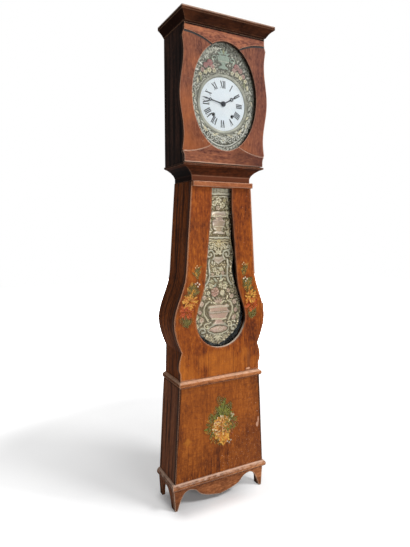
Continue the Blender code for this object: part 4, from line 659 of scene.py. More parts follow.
class Relief:
    """Height and tint over a sheet of brass, built up from stamped motifs."""

    def __init__(self, x, z):
        self.x = x
        self.z = z
        self.height = np.zeros_like(x)
        self.plain = np.zeros_like(x)
        self.tint = np.zeros(x.shape + (4,))

    def raise_to(self, height, tint=None, cover=0.85):
        higher = height > self.height
        self.height = np.where(higher, height, self.height)
        self.tint[higher] = (*tint[:3], cover) if tint else (0.3, 0.3, 0.2, 0.0)

    def local(self, at, turn):
        """Across and along a direction that is turned clockwise from straight up."""
        dx, dz = self.x - at[0], self.z - at[1]
        cosine, sine = math.cos(math.radians(turn)), math.sin(math.radians(turn))
        return dx * cosine - dz * sine, dx * sine + dz * cosine

    def dome(self, at, size, height, turn=0.0, tint=None, power=0.5):
        u, v = self.local(at, turn)
        share = np.maximum(1 - (u / size[0]) ** 2 - (v / size[1]) ** 2, 0)
        self.raise_to(height * share ** power, tint)

    def leaf(self, at, length, width, turn, height, tint=None):
        """Pointed leaf from its stalk outwards, grooved down its middle and notched at its sides."""
        u, v = self.local(at, turn)
        along = np.clip(v / length, 0, 1)
        notch = 1 - 0.16 * np.abs(np.sin(along * math.pi * 5))
        half = width / 2 * np.sin(math.pi * along ** 0.8) * notch + 1e-6
        across = np.abs(u) / half
        inside = (across < 1) & (v > 0) & (v < length)
        rise = np.sqrt(np.maximum(1 - across ** 2, 0)) * (0.55 + 0.45 * np.minimum(across * 3.5, 1))
        self.raise_to(np.where(inside, height * rise * (0.55 + 0.45 * np.sin(math.pi * along)), 0), tint)

    def flower(self, at, radius, petals, height, tint, heart):
        for i in range(petals):
            turn = 360 * i / petals + 15
            spot = around(at, radius * 0.58, turn)
            self.dome(spot, (radius * 1.5 / petals + radius * 0.12, radius * 0.42), height, turn, tint)
        self.dome(at, (radius * 0.28, radius * 0.28), height * 1.25, 0.0, heart)

    def rose(self, at, radius, height, tint, heart):
        for ring, count, size in ((0.68, 7, 0.40), (0.40, 5, 0.32), (0.14, 3, 0.22)):
            for i in range(count):
                turn = 360 * i / count + 40 * ring
                lift = height * (0.72 + 0.28 * (1 - ring))
                petal = tint if ring > 0.2 else heart
                spot = around(at, radius * ring, turn)
                self.dome(spot, (radius * size, radius * size * 0.72), lift, turn, petal)

    def cord(self, points, radius, height, tint=None):
        """Raised round bar along a run of points."""
        best = np.zeros_like(self.x)
        for (ax, az), (bx, bz) in zip(points, points[1:]):
            dx, dz = bx - ax, bz - az
            span = dx * dx + dz * dz + 1e-12
            t = np.clip(((self.x - ax) * dx + (self.z - az) * dz) / span, 0, 1)
            gap = np.hypot(self.x - ax - t * dx, self.z - az - t * dz) / radius
            best = np.maximum(best, np.sqrt(np.maximum(1 - gap ** 2, 0)))
        self.raise_to(height * best, tint)

    def scroll(self, at, radius, start, sweep, thick, height, tint=None):
        """Spiral that winds in from its rim; angles in degrees, clockwise from straight up."""
        points = []
        for i in range(19):
            share = i / 18
            points.append(around(at, radius * (1 - 0.78 * share), start + sweep * share))
        self.cord(points, thick, height, tint)
        self.dome(points[-1], (thick * 1.7, thick * 1.7), height * 1.15, 0.0, tint)

    def urn(self, profile, height, tint=None):
        """Smooth turned vessel seen from the front: half widths and heights from its top down."""
        halves = [half for half, _ in profile]
        levels = [z for _, z in profile]
        half = np.interp(-self.z, [-z for z in levels], halves, left=0.0, right=0.0)
        share = np.abs(self.x) / np.maximum(half, 1e-6)
        inside = (half > 0) & (share < 1)
        rise = np.sqrt(np.maximum(1 - share ** 2, 0)) ** 0.7
        self.plain[inside] = 1.0
        self.raise_to(np.where(inside, height * (0.45 + 0.55 * rise), 0), tint)

    def band(self, low, high, half, height, tint=None):
        inside = (self.z > low) & (self.z < high) & (np.abs(self.x) < half)
        share = (self.z - (low + high) / 2) / ((high - low) / 2)
        self.raise_to(np.where(inside, height * np.sqrt(np.maximum(1 - share ** 2, 0)), 0), tint)

    def both(self, motif, at, *rest, turns=(), **named):
        """The same motif on either side of the middle; arguments listed in turns change sign."""
        getattr(self, motif)(at, *rest, **named)
        other = [-value if i in turns else value for i, value in enumerate(rest)]
        getattr(self, motif)((-at[0], at[1]), *other, **named)

    def foliage(self, seed, count, length, height, tints):
        """Small leaves and berries strewn over the ground before the large motifs."""
        chance = random.Random(seed)
        low, high = self.z.min(), self.z.max()
        wide = np.abs(self.x).max()
        for i in range(count):
            at = (chance.uniform(-wide, wide), chance.uniform(low, high))
            tint = chance.choice(tints)
            long = length * chance.uniform(0.7, 1.3)
            if i % 4:
                turn = chance.uniform(0, 360)
                self.leaf(at, long, long * 0.45, turn, height * chance.uniform(0.7, 1.1), tint)
            else:
                self.dome(at, (long * 0.22, long * 0.22), height, 0.0, tint)

    def flutes(self, low, high, pitch, height, tint=None):
        """Upright rounded flutes side by side."""
        inside = (self.z > low) & (self.z < high)
        self.raise_to(np.where(inside, height * np.abs(np.cos(self.x / pitch * math.pi)) ** 0.6, 0), tint)

    def stipple(self, seed, depth, crumple):
        """Hammered and matted surface over everything but the vessels, which are only a little dented."""
        grain = (np.random.default_rng(seed).random(self.x.shape) - 0.5) * (1 - self.plain)
        dents = wander(self.x.shape, seed + 1, 1, crumple) * (1 - 0.7 * self.plain)
        self.height = self.height + depth * (blurred(grain, 1) * 3 + blurred(grain, 2) * 4) + dents

    def polish(self):
        """How far each point stands above its neighbourhood, from 0 to 1."""
        near = (self.height - blurred(self.height, 2)) / 0.0016
        wide = (self.height - blurred(self.height, 6)) / 0.0044
        broad = (self.height - blurred(self.height, 14)) / 0.0120
        return np.clip(0.5 + near + wide + broad, 0, 1)


ROSE = tone(158, 60, 70)
PINK = tone(190, 142, 134)
MAUVE = tone(158, 128, 124)
CREAM = tone(236, 226, 190)
LEAF = tone(132, 136, 78)
TEAL = tone(136, 160, 146)
SILVER = tone(186, 186, 168)
GOLD = tone(188, 160, 84)


def posy(r, height, *flowers):
    """Five-petalled flowers with golden hearts, each given as x, z, radius and tint."""
    for x, z, size, tint in flowers:
        r.flower((x, z), size, 5, height, tint, GOLD)


def bob_motifs(r):
    """Flowers, vases and scrolls down the pendulum's front."""
    r.flutes(1.566, 1.610, 0.0078, 0.0024, SILVER)
    r.band(1.552, 1.566, 0.075, 0.0030, SILVER)
    r.band(1.541, 1.549, 0.072, 0.0020)
    posy(r, 0.0036, (0.0, 1.528, 0.018, CREAM), (-0.022, 1.512, 0.015, CREAM), (0.020, 1.503, 0.017, CREAM),
         (-0.004, 1.489, 0.013, PINK), (0.034, 1.528, 0.010, GOLD), (-0.034, 1.534, 0.010, GOLD))
    leaves = ((0.012, 1.500, 60), (-0.014, 1.500, -70), (0.026, 1.515, 40), (-0.030, 1.497, -110),
              (0.036, 1.492, 100))
    for x, z, turn in leaves:
        r.leaf((x, z), 0.034, 0.014, turn, 0.0030, LEAF)
    vase = [(0.036, 1.474), (0.041, 1.466), (0.041, 1.450), (0.026, 1.444), (0.020, 1.437), (0.033, 1.428),
            (0.036, 1.412), (0.030, 1.392), (0.016, 1.380), (0.028, 1.374), (0.030, 1.364)]
    r.urn(vase, 0.0050, MAUVE)
    r.band(1.446, 1.453, 0.043, 0.0060, CREAM)
    r.band(1.424, 1.430, 0.035, 0.0060, PINK)
    r.band(1.396, 1.402, 0.032, 0.0058, CREAM)
    r.band(1.363, 1.369, 0.034, 0.0048, PINK)
    for i in range(8):
        z = 1.352 + 0.022 * i
        turn, tint = (24, GOLD) if i % 2 else (-34, LEAF)
        r.both("leaf", (0.058, z), 0.026, 0.012, turn, 0.0030, tint=tint, turns=(2,))
    for z in (1.372, 1.418, 1.466):
        r.both("flower", (0.055, z), 0.010, 5, 0.0034, tint=CREAM, heart=GOLD)
    r.band(1.340, 1.350, 0.062, 0.0034, SILVER)
    r.band(1.330, 1.336, 0.060, 0.0022, GOLD)
    r.rose((0.0, 1.314), 0.021, 0.0040, GOLD, CREAM)
    for x, z, turn in ((0.018, 1.318, 72), (0.019, 1.308, 112), (0.036, 1.322, 96), (0.036, 1.306, 130)):
        r.both("leaf", (x, z), 0.026, 0.012, turn, 0.0030, tint=GOLD if turn < 100 else LEAF, turns=(2,))
    for x, z, size in ((0.027, 1.308, 0.013), (0.040, 1.296, 0.011), (0.018, 1.292, 0.010)):
        r.both("flower", (x, z), size, 5, 0.0036, tint=CREAM, heart=GOLD)
    for turn in (0, 40, -40, 80, -80):
        r.leaf((0.0, 1.264), 0.032 - abs(turn) * 0.0001, 0.013, turn, 0.0040, CREAM)
    r.both("scroll", (0.048, 1.262), 0.027, -150.0, 420.0, 0.0050, 0.0050, tint=SILVER, turns=(1, 2))
    r.both("scroll", (0.056, 1.298), 0.016, 190.0, -330.0, 0.0034, 0.0036, tint=SILVER, turns=(1, 2))
    r.urn([(0.034, 1.250), (0.033, 1.240), (0.020, 1.226), (0.003, 1.212)], 0.0038, MAUVE)
    ribbon = [(0.050, 1.236), (0.056, 1.214), (0.053, 1.185), (0.050, 1.158), (0.058, 1.132), (0.074, 1.108)]
    r.cord(ribbon, 0.0058, 0.0044, SILVER)
    r.cord([(-x, z) for x, z in ribbon], 0.0058, 0.0044, SILVER)
    posy(r, 0.0038, (-0.022, 1.186, 0.014, CREAM), (0.014, 1.190, 0.013, CREAM),
         (-0.004, 1.170, 0.014, CREAM), (0.026, 1.168, 0.011, PINK), (-0.032, 1.164, 0.010, PINK))
    r.band(1.152, 1.158, 0.046, 0.0026, SILVER)
    leaves = ((0.004, 1.128, 60, CREAM), (-0.004, 1.126, -50, TEAL), (0.010, 1.136, 20, TEAL),
              (-0.022, 1.130, -90, LEAF), (0.026, 1.124, 110, LEAF), (-0.012, 1.116, -140, TEAL))
    for x, z, turn, tint in leaves:
        r.leaf((x, z), 0.034, 0.015, turn, 0.0036, tint)
    posy(r, 0.0042, (-0.040, 1.106, 0.015, CREAM), (0.038, 1.100, 0.017, CREAM), (0.012, 1.106, 0.013, CREAM),
         (0.056, 1.078, 0.012, PINK), (-0.058, 1.072, 0.012, CREAM))
    r.rose((-0.020, 1.076), 0.024, 0.0062, tone(176, 44, 60), tone(150, 30, 44))
    r.rose((0.022, 1.070), 0.016, 0.0050, CREAM, PINK)
    for turn in (-56, -34, -12, 12, 34, 56):
        r.leaf((0.0, 1.008), 0.044, 0.014, turn, 0.0040, PINK if abs(turn) < 40 else CREAM)
    vase = [(0.052, 1.010), (0.060, 1.004), (0.060, 0.996), (0.050, 0.990), (0.056, 0.978), (0.054, 0.962),
            (0.044, 0.944), (0.024, 0.934), (0.020, 0.928), (0.032, 0.920), (0.036, 0.912)]
    r.urn(vase, 0.0062, PINK)
    r.band(0.996, 1.005, 0.062, 0.0066, SILVER)
    r.band(0.968, 0.979, 0.057, 0.0072, MAUVE)
    r.band(0.934, 0.945, 0.044, 0.0070, CREAM)
    r.band(0.910, 0.916, 0.040, 0.0060, SILVER)
    brace = [(0.052, 1.030), (0.072, 1.018), (0.082, 0.994), (0.080, 0.968), (0.068, 0.948), (0.060, 0.930)]
    r.cord(brace, 0.0048, 0.0048, CREAM)
    r.cord([(-x, z) for x, z in brace], 0.0048, 0.0048, CREAM)
    roses = (0.096, 1.018, 0.016), (0.104, 0.978, 0.012), (0.094, 0.938, 0.015), (0.080, 1.050, 0.012)
    for x, z, size in roses:
        r.both("rose", (x, z), size, 0.0046, tint=PINK, heart=ROSE)
    leaves = ((0.112, 1.000, 30), (0.116, 0.960, 160), (0.106, 0.996, 140), (0.088, 1.036, -20),
              (0.106, 0.950, 60), (0.088, 0.922, 120), (0.108, 0.924, 20), (0.094, 0.958, -30))
    for x, z, turn in leaves:
        r.both("leaf", (x, z), 0.026, 0.012, turn, 0.0036, tint=LEAF if turn % 40 else CREAM, turns=(2,))
    r.both("scroll", (0.088, 0.882), 0.026, 200.0, -400.0, 0.0048, 0.0050, tint=SILVER, turns=(1, 2))
    r.both("scroll", (0.066, 0.904), 0.018, -40.0, 330.0, 0.0038, 0.0042, tint=CREAM, turns=(1, 2))
    r.dome((0.0, 0.886), (0.052, 0.018), 0.0050, 0.0, PINK)
    lens = [(0.060 * math.sin(a), 0.886 + 0.025 * math.cos(a)) for a in np.linspace(0, 2 * math.pi, 33)]
    r.cord(lens, 0.0036, 0.0046, SILVER)
    for turn in range(-84, 85, 24):
        r.leaf((0.012 * math.sin(math.radians(turn)), 0.862), 0.046, 0.015, 180 + turn, 0.0038, CREAM)


def bob_rows():
    """Half width of the pendulum's front at each height, from its top to its tip."""
    points = {}
    for vertex in NODES["pendulum_bob"].data.vertices:
        key = round(vertex.co.z, 5)
        points[key] = max(points.get(key, 0.0), vertex.co.x)
    levels = sorted(points)
    return levels, [points[z] for z in levels]


def embossed_bob(material):
    """The pendulum's pressed front: a swelling sheet with a turned edge and deep relief."""
    rows, columns = 460, 132
    low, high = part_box("pendulum_bob")
    levels, halves = bob_rows()
    z = np.linspace(high.z, low.z, rows)
    half = np.interp(z, levels, halves)
    share = np.linspace(-1, 1, columns)
    x = half[:, None] * share[None, :]
    level = np.repeat(z[:, None], columns, 1)
    relief = Relief(x + wander(x.shape, 21, 4, 0.0010), level + wander(x.shape, 22, 4, 0.0010))
    relief.foliage(3, 640, 0.018, 0.0017, (None, None, SILVER, CREAM, LEAF))
    bob_motifs(relief)
    relief.height *= 1.7
    relief.stipple(5, 0.0007, 0.00026)
    inset = half[:, None] - np.abs(x)
    rim = np.clip(inset / 0.009, 0, 1)
    fade = np.minimum(np.clip(inset / 0.004, 0, 1), np.clip((level - low.z) / 0.01, 0, 1))
    roll = 0.0022 * np.sqrt(np.maximum(1 - (2 * rim - 1) ** 2, 0)) * (np.abs(share)[None, :] > 0.5)
    height = np.maximum(relief.height * fade, roll)
    swell = 0.0062 * np.minimum(half / half.max(), 1)[:, None] * (1 - share[None, :] ** 2)
    y = high.y - 0.0016 - swell - np.maximum(height, 0)
    verts = list(np.stack([x, y, level], 2).reshape(-1, 3))
    back = len(verts)
    for i in range(rows):
        verts += [(-half[i], high.y, z[i]), (half[i], high.y, z[i])]
    faces = []
    for i in range(rows - 1):
        for j in range(columns - 1):
            a = i * columns + j
            faces.append((a, a + columns, a + columns + 1, a + 1))
        left, right = back + 2 * i, back + 2 * i + 1
        first, last = i * columns, (i + 1) * columns - 1
        faces.append((left, left + 2, first + columns, first))
        faces.append((last, last + columns, right + 2, right))
        faces.append((right, right + 2, left + 2, left))
    for i in (0, rows - 1):
        edge = [i * columns + j for j in range(columns)] + [back + 2 * i + 1, back + 2 * i]
        faces.append(edge if i == 0 else edge[::-1])
    count = len(verts) - back
    tint = np.vstack([relief.tint.reshape(-1, 4), np.zeros((count, 4))])
    # Painted light: the polish rises towards the top of the bob and falls towards its tip.
    polish = np.concatenate([(relief.polish() * (1 + 0.4 * (level - 1.30))).ravel(), np.full(count, 0.4)])
    attributes = {"tint": ("FLOAT_COLOR", tint), "polish": ("FLOAT", polish)}
    obj = piece("embossed_bob", verts, faces, material, "pendulum", True, attributes)
    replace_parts(outward(obj), "pendulum_bob")


def surround_motifs(r):
    """An urn between garlands above the dial, and leaf scrolls round and below it."""
    vase = [(0.022, 2.190), (0.030, 2.184), (0.034, 2.172), (0.026, 2.160), (0.012, 2.152), (0.010, 2.146),
            (0.024, 2.138), (0.028, 2.130)]
    r.urn(vase, 0.0036, TEAL)
    r.band(2.182, 2.188, 0.036, 0.0042, TEAL)
    r.band(2.160, 2.165, 0.030, 0.0046, SILVER)
    for turn in (-62, -30, 0, 30, 62):
        r.leaf((0.0, 2.186), 0.040, 0.014, turn, 0.0032, TEAL if turn else LEAF)
    r.both("scroll", (0.046, 2.172), 0.017, 160.0, -380.0, 0.0030, 0.0034, tint=TEAL, turns=(1, 2))
    roses = ((0.072, 2.148, 0.017, ROSE), (0.094, 2.134, 0.014, ROSE), (0.058, 2.132, 0.012, PINK),
             (0.110, 2.112, 0.012, PINK))
    for x, z, size, tint in roses:
        r.both("rose", (x, z), size, 0.0036, tint=tint, heart=tone(142, 44, 50))
    flowers = (0.048, 2.118, 0.012), (0.074, 2.116, 0.013), (0.094, 2.104, 0.011), (0.122, 2.092, 0.011)
    for x, z, size in flowers:
        r.both("flower", (x, z), size, 5, 0.0034, tint=CREAM, heart=GOLD)
    leaves = ((0.088, 2.160, 40), (0.062, 2.160, -10), (0.108, 2.132, 60), (0.078, 2.128, 150),
              (0.126, 2.108, 80), (0.100, 2.118, 170), (0.050, 2.150, 20), (0.120, 2.086, 190))
    for x, z, turn in leaves:
        r.both("leaf", (x, z), 0.028, 0.012, turn, 0.0030, tint=LEAF if turn % 20 else None, turns=(2,))
    for i in range(14):
        angle = math.radians(60 + 5.4 * i * 1.6)
        spot = (0.155 * math.sin(angle), DIAL[1] + 0.02 + 0.168 * math.cos(angle))
        turn = math.degrees(angle) + (70 if i % 2 else 120)
        r.both("leaf", spot, 0.030, 0.012, turn, 0.0026, tint=None if i % 3 else CREAM, turns=(2,))
    for i in range(7):
        x = 0.016 + 0.022 * i
        z = 1.808 + 0.0011 * (i * 4.4) ** 2 / 10
        r.both("scroll", (x, z), 0.013, 200.0 - 30 * i, 380.0, 0.0026, 0.0032, tint=None, turns=(1, 2))
        tint = CREAM if i % 2 else None
        r.both("leaf", (x, z + 0.012), 0.026, 0.011, 70 - 12 * i, 0.0030, tint=tint, turns=(2,))
    r.flower((0.0, 1.806), 0.018, 6, 0.0038, None, CREAM)
    hoop = [(0.155 * math.sin(a), 1.985 + 0.205 * math.cos(a)) for a in np.linspace(2.0, 4.28, 40)]
    r.cord(hoop, 0.003, 0.0022)


def surround_reach(angles):
    """Distance from the dial's centre to the surround's edge."""
    found = {}
    for vertex in NODES["dial_surround"].data.vertices:
        dx, dz = vertex.co.x - DIAL[0], vertex.co.z - DIAL[1]
        key = round(math.atan2(dz, dx) % (2 * math.pi), 3)
        found[key] = max(found.get(key, 0.0), math.hypot(dx, dz))
    keys = sorted(found)
    return np.interp(angles, keys, [found[key] for key in keys], period=2 * math.pi)


def embossed_surround(material):
    """The pressed sheet round the dial: a moulded ring, and a field of stamped ornament."""
    turns, rows = 640, 62
    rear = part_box("dial_surround")[1].y
    angles = np.linspace(0, 2 * math.pi, turns, endpoint=False)
    reach = surround_reach(angles)
    share = np.linspace(0, 1, rows)
    radius = RING_INNER + (reach[:, None] - RING_INNER) * share[None, :]
    x = DIAL[0] + radius * np.cos(angles)[:, None]
    z = DIAL[1] + radius * np.sin(angles)[:, None]
    relief = Relief(x, z)
    relief.foliage(7, 1700, 0.0105, 0.0013, (None, None, None, SILVER, LEAF))
    surround_motifs(relief)
    relief.height *= 1.3
    relief.stipple(9, 0.0006, 0.00012)
    ring = np.clip((radius - RING_INNER) / (RING_OUTER - RING_INNER), 0, 1)
    field = np.clip((radius - RING_OUTER) / 0.004, 0, 1)
    edge = np.clip((reach[:, None] - radius) / 0.006, 0, 1)
    crest = 0.0040 * np.sin(math.pi * ring) ** 0.8 + 0.0008 * np.sin(math.pi * 3 * ring) ** 2
    pillow = 0.0012 * np.sin(math.pi * np.clip((radius - RING_OUTER) / (reach[:, None] - RING_OUTER), 0, 1))
    height = np.where(ring < 1, crest, pillow) + relief.height * field * edge
    y = rear - 0.0015 - np.maximum(height, 0)
    verts = list(np.stack([x, y, z], 2).reshape(-1, 3))
    back = len(verts)
    for j in range(turns):
        for i in (0, rows - 1):
            verts.append((x[j, i], rear, z[j, i]))
    faces = []
    for j in range(turns):
        k = (j + 1) % turns
        for i in range(rows - 1):
            faces.append((j * rows + i, k * rows + i, k * rows + i + 1, j * rows + i + 1))
        inner, inner_next = back + 2 * j, back + 2 * k
        outer, outer_next = inner + 1, inner_next + 1
        faces.append((inner, inner_next, k * rows, j * rows))
        faces.append((j * rows + rows - 1, k * rows + rows - 1, outer_next, outer))
        faces.append((inner, outer, outer_next, inner_next))
    count = len(verts) - back
    painted = relief.tint * field[:, :, None]
    tint = np.vstack([painted.reshape(-1, 4), np.zeros((count, 4))])
    # Painted shade: the polish falls towards the top of the surround, under the hood, and rises below the
    # dial.
    polish_with_painted_shade = relief.polish() * (1 + 0.7 * (1.96 - z))
    polish = np.concatenate([np.maximum(polish_with_painted_shade * field, 0.62 * (ring < 1)).ravel(), np.full(count, 0.4)])
    attributes = {"tint": ("FLOAT_COLOR", tint), "polish": ("FLOAT", polish)}
    obj = piece("embossed_surround", verts, faces, material, "case", True, attributes)
    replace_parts(outward(obj), "dial_surround")


# Joints of the hood door

def plain_colour(name, dark, light):
    """A joint strip's colour, lightly clouded: painted shadow at the top joints, chipped pale paint with a
    painted highlight at the feet.
    """
    f = Finish(name)
    cloud = f.noise(f.place(), 90.0, 3.0, 0.6)
    return f.surface(Base_Color=f.ramp(cloud, (0.38, dark), (0.62, light)), Roughness=cloud * 0.2 + 0.6)


def hood_joints():
    """Painted shadows at the top of the hood door's stiles, where the top rail shades them, and chipped pale
    edges at their feet that also paint the bottom rail's highlight, dimmer on the right.
    """
    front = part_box("hood_stile_left")[0].y
    kinds = (
        ("top_joint_shadows", (-1, 1), 2.260, -1, 0.0084, tone(10, 6, 5), tone(22, 13, 10)),
        # Chipped paint and a painted highlight along the bottom joints; the right one is dimmer.
        ("foot_joint_left", (-1,), 1.740, 1, 0.0034, tone(138, 86, 58), tone(224, 182, 156)),
        ("foot_joint_right", (1,), 1.740, 1, 0.0034, tone(92, 50, 32), tone(150, 98, 70)),
    )
    outer = 0.2135
    for name, sides, level, bend, width, dark, light in kinds:
        sheet = Sheet()
        for side in sides:
            run = []
            for i in range(41):
                x = outer - 0.004 * i
                z = level + bend * (JOINT_RADIUS - math.sqrt(JOINT_RADIUS ** 2 - (outer - x) ** 2))
                if (x / OVAL_REACH[0]) ** 2 + ((z - OVAL_MIDDLE) / OVAL_REACH[1]) ** 2 > 1.0:
                    run.append((side * x, z))
            near, far = bend * width * 0.08, bend * width
            left, right = [], []
            for x, z in run:
                left.append(((x, front - 0.0003, z + near), (x, front + 0.0004, z + near)))
                right.append(((x, front - 0.0003, z + far), (x, front + 0.0004, z + far)))
            sheet.strip(left, right, [(0, 0, 0, 1)] * len(run))
        finish = plain_colour(name, dark, light)
        outward(piece(name, sheet.verts, sheet.faces, finish, "hood_door"))


# Dial marks

DIAL_PROFILE = sorted({(round(math.hypot(v.co.x - DIAL[0], v.co.z - DIAL[1]), 4), v.co.y)
                       for v in NODES["enamel_dial"].data.vertices})
MINUTE_RING = 0.1125
NUMERAL_HEIGHT = 0.032
NUMERAL_RADIUS = 0.0895
NUMERALS = ("XII", "I", "II", "III", "IIII", "V", "VI", "VII", "VIII", "IX", "X", "XI")
THICK, THIN = 0.0047, 0.0015
LETTER_WIDTH = {"I": 0.0072, "V": 0.0155, "X": 0.0150}


def dial_face(radius):
    """Front of the domed dial at a distance from its centre."""
    fronts = {}
    for r, y in DIAL_PROFILE:
        fronts[r] = min(fronts.get(r, y), y)
    keys = [r for r in sorted(fronts) if r < 0.011 or 0.070 < r < 0.078 or r > 0.120]
    return float(np.interp(radius, keys, [fronts[r] for r in keys]))


def letter_strokes(letter):
    """Bars of a letter as (bottom, top, width), centred on its middle line."""
    half = NUMERAL_HEIGHT / 2
    if letter == "I":
        bars = [((0.0, -half), (0.0, half), THICK)]
        reach = 0.0036
        feet = [0.0]
    elif letter == "V":
        bars = [((0.0006, -half), (-0.0048, half), THICK), ((0.0006, -half), (0.0056, half), THIN)]
        reach = 0.0030
        feet = [-0.0048, 0.0056]
    else:
        bars = [((0.0050, -half), (-0.0050, half), THICK), ((-0.0050, -half), (0.0050, half), THIN)]
        reach = 0.0030
        feet = [-0.0050, 0.0050]
    for foot in feet:
        ends = (half, -half) if letter != "V" else (half,)
        for end in ends:
            bars.append(((foot - reach, end), (foot + reach, end), 0.0010))
    return bars


def numerals(material):
    sheet = Sheet()
    for hour, word in enumerate(NUMERALS):
        angle = math.radians(30 * hour)
        out = (math.sin(angle), math.cos(angle))
        side = (out[1], -out[0])
        start = -sum(LETTER_WIDTH[letter] for letter in word) / 2

        def spot(u, v):
            x = side[0] * u + out[0] * (NUMERAL_RADIUS + v)
            z = side[1] * u + out[1] * (NUMERAL_RADIUS + v)
            y = dial_face(math.hypot(x, z))
            return (DIAL[0] + x, y - 0.00025, DIAL[1] + z), (DIAL[0] + x, y + 0.0003, DIAL[1] + z)

        for letter in word:
            middle = start + LETTER_WIDTH[letter] / 2
            start += LETTER_WIDTH[letter]
            for (u0, v0), (u1, v1), width in letter_strokes(letter):
                du, dv = u1 - u0, v1 - v0
                length = math.hypot(du, dv)
                nu, nv = -dv / length * width / 2, du / length * width / 2
                shares = [k / 4 for k in range(5)]
                left = [spot(middle + u0 + du * s + nu, v0 + dv * s + nv) for s in shares]
                right = [spot(middle + u0 + du * s - nu, v0 + dv * s - nv) for s in shares]
                sheet.strip(left, right, [(0, 0, 0, 1)] * 5)
    outward(piece("dial_numerals", sheet.verts, sheet.faces, material, "case"))


def winding_rims(material):
    """Dark collars round the two winding holes."""
    sheet = Sheet()
    for low, high in WIND_HOLES:
        at = ((low.x + high.x) / 2, (low.z + high.z) / 2)
        inner, outer = [], []
        for i in range(33):
            angle = 2 * math.pi * i / 32
            for radius, run in ((0.0068, inner), (0.0088, outer)):
                x, z = at[0] + radius * math.sin(angle), at[1] + radius * math.cos(angle)
                y = dial_face(math.hypot(x - DIAL[0], z - DIAL[1]))
                run.append(((x, y - 0.0004, z), (x, y + 0.0003, z)))
        sheet.ring(inner, outer)
    outward(piece("winding_rims", sheet.verts, sheet.faces, material, "case"))


# Repeated small pieces, placed by geometry nodes

def tree_of(name, inputs):
    """An empty geometry tree with a mesh in, a mesh out and named sizes."""
    tree = bpy.data.node_groups.new(name, "GeometryNodeTree")
    tree.interface.new_socket("Geometry", in_out="INPUT", socket_type="NodeSocketGeometry")
    for label, kind in inputs:
        tree.interface.new_socket(label, in_out="INPUT", socket_type=kind)
    tree.interface.new_socket("Geometry", in_out="OUTPUT", socket_type="NodeSocketGeometry")
    return tree


def bead_tree():
    """Domed beads along the run of edges that comes in, at an even pitch."""
    tree = tree_of("Beads on a run", [("Pitch", "NodeSocketFloat"), ("Bead radius", "NodeSocketFloat"),
                                      ("Finish", "NodeSocketMaterial")])
    nodes, link = tree.nodes, tree.links.new
    given, made = nodes.new("NodeGroupInput"), nodes.new("NodeGroupOutput")
    path = nodes.new("GeometryNodeMeshToCurve")
    spaced = nodes.new("GeometryNodeResampleCurve")
    spaced.mode = "LENGTH"
    bead = nodes.new("GeometryNodeMeshUVSphere")
    bead.inputs["Segments"].default_value = 8
    bead.inputs["Rings"].default_value = 5
    placed = nodes.new("GeometryNodeInstanceOnPoints")
    solid = nodes.new("GeometryNodeRealizeInstances")
    coat = nodes.new("GeometryNodeSetMaterial")
    link(given.outputs["Geometry"], path.inputs["Mesh"])
    link(path.outputs["Curve"], spaced.inputs["Curve"])
    link(given.outputs["Pitch"], spaced.inputs["Length"])
    link(given.outputs["Bead radius"], bead.inputs["Radius"])
    link(spaced.outputs["Curve"], placed.inputs["Points"])
    link(bead.outputs["Mesh"], placed.inputs["Instance"])
    link(placed.outputs["Instances"], solid.inputs["Geometry"])
    link(solid.outputs["Geometry"], coat.inputs["Geometry"])
    link(given.outputs["Finish"], coat.inputs["Material"])
    link(coat.outputs["Geometry"], made.inputs["Geometry"])
    return tree


def beads(name, tree, runs, pitch, radius, material, body):
    """Beads along closed or open runs of points, made into one plain mesh."""
    verts, edges = [], []
    for points, closed in runs:
        start = len(verts)
        verts += points
        edges += [(start + i, start + i + 1) for i in range(len(points) - 1)]
        if closed:
            edges.append((len(verts) - 1, start))
    mesh = bpy.data.meshes.new(name + "_run")
    mesh.from_pydata(verts, edges, [])
    runner = bpy.data.objects.new(name + "_run", mesh)
    bpy.context.scene.collection.objects.link(runner)
    modifier = runner.modifiers.new("Beads", "NODES")
    modifier.node_group = tree
    sizes = {"Pitch": pitch, "Bead radius": radius, "Finish": material}
    for item in tree.interface.items_tree:
        if item.in_out == "INPUT" and item.name in sizes:
            modifier[item.identifier] = sizes[item.name]
    solid = bpy.data.meshes.new_from_object(runner.evaluated_get(bpy.context.evaluated_depsgraph_get()))
    bpy.data.objects.remove(runner)
    solid.name = name
    solid.shade_smooth()
    obj = bpy.data.objects.new(name, solid)
    bpy.context.scene.collection.objects.link(obj)
    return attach(obj, body)


def ring_points(radius, count, lift):
    points = []
    for i in range(count):
        angle = 2 * math.pi * i / count
        x, z = radius * math.sin(angle), radius * math.cos(angle)
        points.append((DIAL[0] + x, dial_face(radius) + lift, DIAL[1] + z))
    return points


# Painted flowers

